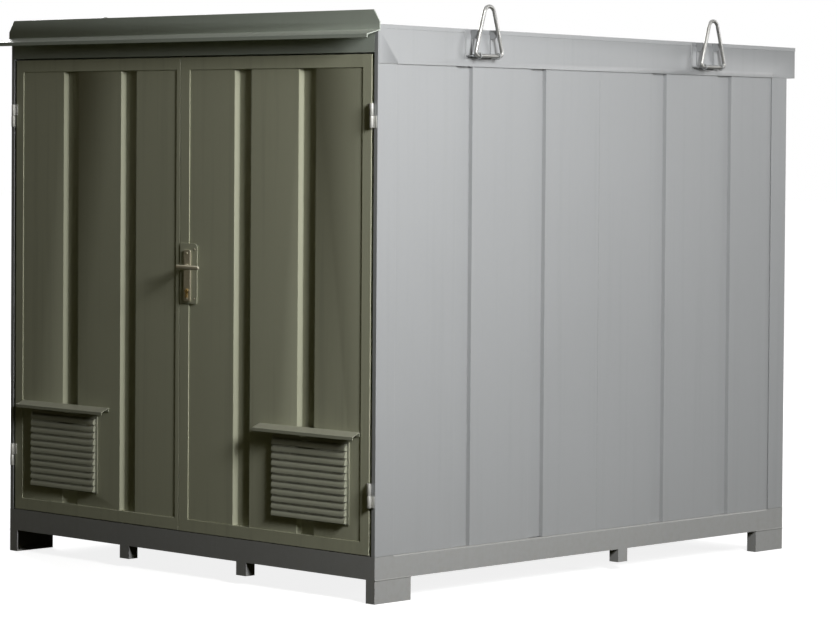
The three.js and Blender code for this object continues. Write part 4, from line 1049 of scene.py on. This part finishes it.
class KIOSK_OT_stage(bpy.types.Operator):
    """Set the camera, floor, lights and even light"""
    bl_idname = "kiosk.stage"
    bl_label = "Stage"

    def execute(self, context):
        stage = settings()[2]
        self.camera(context)
        self.floor(context, stage)
        self.world(context, stage)
        white, tint = (1.0, 1.0, 1.0), stage.tint
        for name, place, target, size, strength, tone in (
            ("key", (4.6, -2.04, 2.75), (0.9, -0.6, 1.0), (0.9, 1.3), stage.key, white),
            ("fill", (3.0, -4.1, 4.4), (0.3, -1.1, 1.1), (1.6, 1.6), stage.fill, tint),
            ("side", (6.5, 3.6, 2.3), (1.0, 0.8, 0.9), (2.4, 2.0), stage.side, white),
            ("back right", (3.2, 8.0, 3.8), (0.0, 1.1, 1.0), (3.0, 3.0), stage.back_right, white),
            ("back left", (-7.8, 2.6, 3.8), (-1.0, 0.3, 1.0), (3.0, 3.0), stage.back_left, white),
            ("inside", (0.15, -0.35, 1.88), (0.15, -0.2, 0.0), (0.9, 0.5), stage.inside, (1.0, 0.98, 0.94)),
        ):
            self.light(context, name, place, target, size, strength, tone)
        context.scene.view_settings.view_transform = "Standard"
        return {"FINISHED"}

    def camera(self, context):
        data = bpy.data.cameras.new("camera")
        data.sensor_width = 36.0
        data.lens = 138.83
        data.shift_y = -0.0963
        data.clip_end = 300.0
        made = bpy.data.objects.new("camera", data)
        heading = Matrix.Rotation(math.radians(44.364), 4, "Z")
        tilt = Matrix.Rotation(QUARTER - math.radians(1.6), 4, "X")
        roll = Matrix.Rotation(0.0071, 4, "Z")
        made.matrix_world = Matrix.Translation((8.854, -8.950, 1.605)) @ heading @ tilt @ roll
        context.scene.collection.objects.link(made)
        context.scene.camera = made

    def floor(self, context, stage):
        bm = bmesh.new()
        bmesh.ops.create_grid(bm, x_segments=1, y_segments=1, size=60.0)
        mesh = bpy.data.meshes.new("floor")
        bm.to_mesh(mesh)
        bm.free()
        made = bpy.data.objects.new("floor", mesh)
        context.scene.collection.objects.link(made)
        made.location.z = -0.0005
        material = bpy.data.materials.new("pale floor")
        material.use_nodes = True
        tree = material.node_tree
        tree.nodes.clear()
        away = vector_math(tree, "LENGTH", {0: object_place(tree)}, "Value")
        glow = node(tree, "ShaderNodeEmission", {"Strength": remap(tree, away, 1.6, 5.0, 0.86, 1.05)})
        seen = node(tree, "ShaderNodeBsdfDiffuse", {"Color": (0.5, 0.5, 0.5, 1.0)})
        pale = node(tree, "ShaderNodeAddShader", {0: seen.outputs[0], 1: glow.outputs[0]})
        bounce = node(tree, "ShaderNodeBsdfDiffuse", {"Color": (*(0.045 * c for c in stage.tint), 1.0)})
        ray = node(tree, "ShaderNodeLightPath").outputs["Is Camera Ray"]
        mixed = node(tree, "ShaderNodeMixShader", {0: ray, 1: bounce.outputs[0], 2: pale.outputs[0]})
        out = node(tree, "ShaderNodeOutputMaterial")
        tree.links.new(mixed.outputs[0], out.inputs["Surface"])
        mesh.materials.append(material)

    def world(self, context, stage):
        world = bpy.data.worlds.new("even light")
        context.scene.world = world
        world.use_nodes = True
        tree = world.node_tree
        tree.nodes.clear()
        path = node(tree, "ShaderNodeLightPath")
        aim = node(tree, "ShaderNodeTexCoord").outputs["Generated"]
        height = remap(tree, height_of(tree, aim), 0.30, 0.75)
        sky = mix_colour(tree, height, (*stage.horizon, 1.0), (*[stage.sky] * 3, 1.0))
        glossy = path.outputs["Is Glossy Ray"]
        mirrored = node(tree, "ShaderNodeBackground", {"Color": sky, "Strength": glossy})
        ambient = node(tree, "ShaderNodeBackground", {"Color": (*stage.tint, 1.0), "Strength": stage.ambient})
        even = node(tree, "ShaderNodeAddShader", {0: ambient.outputs[0], 1: mirrored.outputs[0]})
        white = node(tree, "ShaderNodeBackground", {"Color": (1, 1, 1, 1), "Strength": 1.0})
        mixed = node(tree, "ShaderNodeMixShader",
                     {0: path.outputs["Is Camera Ray"], 1: even.outputs[0], 2: white.outputs[0]})
        out = node(tree, "ShaderNodeOutputWorld")
        tree.links.new(mixed.outputs[0], out.inputs["Surface"])

    def light(self, context, name, place, target, size, strength, tone):
        data = bpy.data.lights.new(name, "AREA")
        data.shape = "RECTANGLE"
        data.size, data.size_y = size
        data.energy = strength
        data.color = tone
        made = bpy.data.objects.new(name, data)
        aim = Vector(target) - Vector(place)
        made.matrix_world = Matrix.Translation(place) @ aim.to_track_quat("-Z", "Y").to_matrix().to_4x4()
        made.visible_camera = False
        context.scene.collection.objects.link(made)


class KIOSK_PT_panel(bpy.types.Panel):
    """Lists the kiosk's settings and build steps"""
    bl_idname = "KIOSK_PT_panel"
    bl_label = "Transformer kiosk"
    bl_space_type = "VIEW_3D"
    bl_region_type = "UI"
    bl_category = "Kiosk"

    def draw(self, context):
        for group in settings():
            box = self.layout.box()
            for name in group.__annotations__:
                box.prop(group, name)
        for operator in OPERATORS:
            self.layout.operator(operator.bl_idname)


GROUP_CLASSES = (("kiosk_paint", KioskPaint), ("kiosk_sizes", KioskSizes), ("kiosk_stage", KioskStage))
OPERATORS = (
    KIOSK_OT_stage, KIOSK_OT_housing, KIOSK_OT_floor, KIOSK_OT_doors, KIOSK_OT_louvres,
    KIOSK_OT_lifting_rings, KIOSK_OT_hinges, KIOSK_OT_lock, KIOSK_OT_shoot_bolts, KIOSK_OT_transformer,
    KIOSK_OT_busbars, KIOSK_OT_switchboard, KIOSK_OT_earthing,
)


def register():
    for name, group in GROUP_CLASSES:
        bpy.utils.register_class(group)
        setattr(bpy.types.Scene, name, PointerProperty(type=group))
    for operator in OPERATORS:
        bpy.utils.register_class(operator)
    bpy.utils.register_class(KIOSK_PT_panel)


def unregister():
    bpy.utils.unregister_class(KIOSK_PT_panel)
    for operator in reversed(OPERATORS):
        bpy.utils.unregister_class(operator)
    for name, group in reversed(GROUP_CLASSES):
        delattr(bpy.types.Scene, name)
        bpy.utils.unregister_class(group)


def main():
    register()
    materials.update(make_materials())
    for operator in OPERATORS:
        getattr(bpy.ops.kiosk, operator.bl_idname.split(".")[1])()


if __name__ == "__main__":
    main()
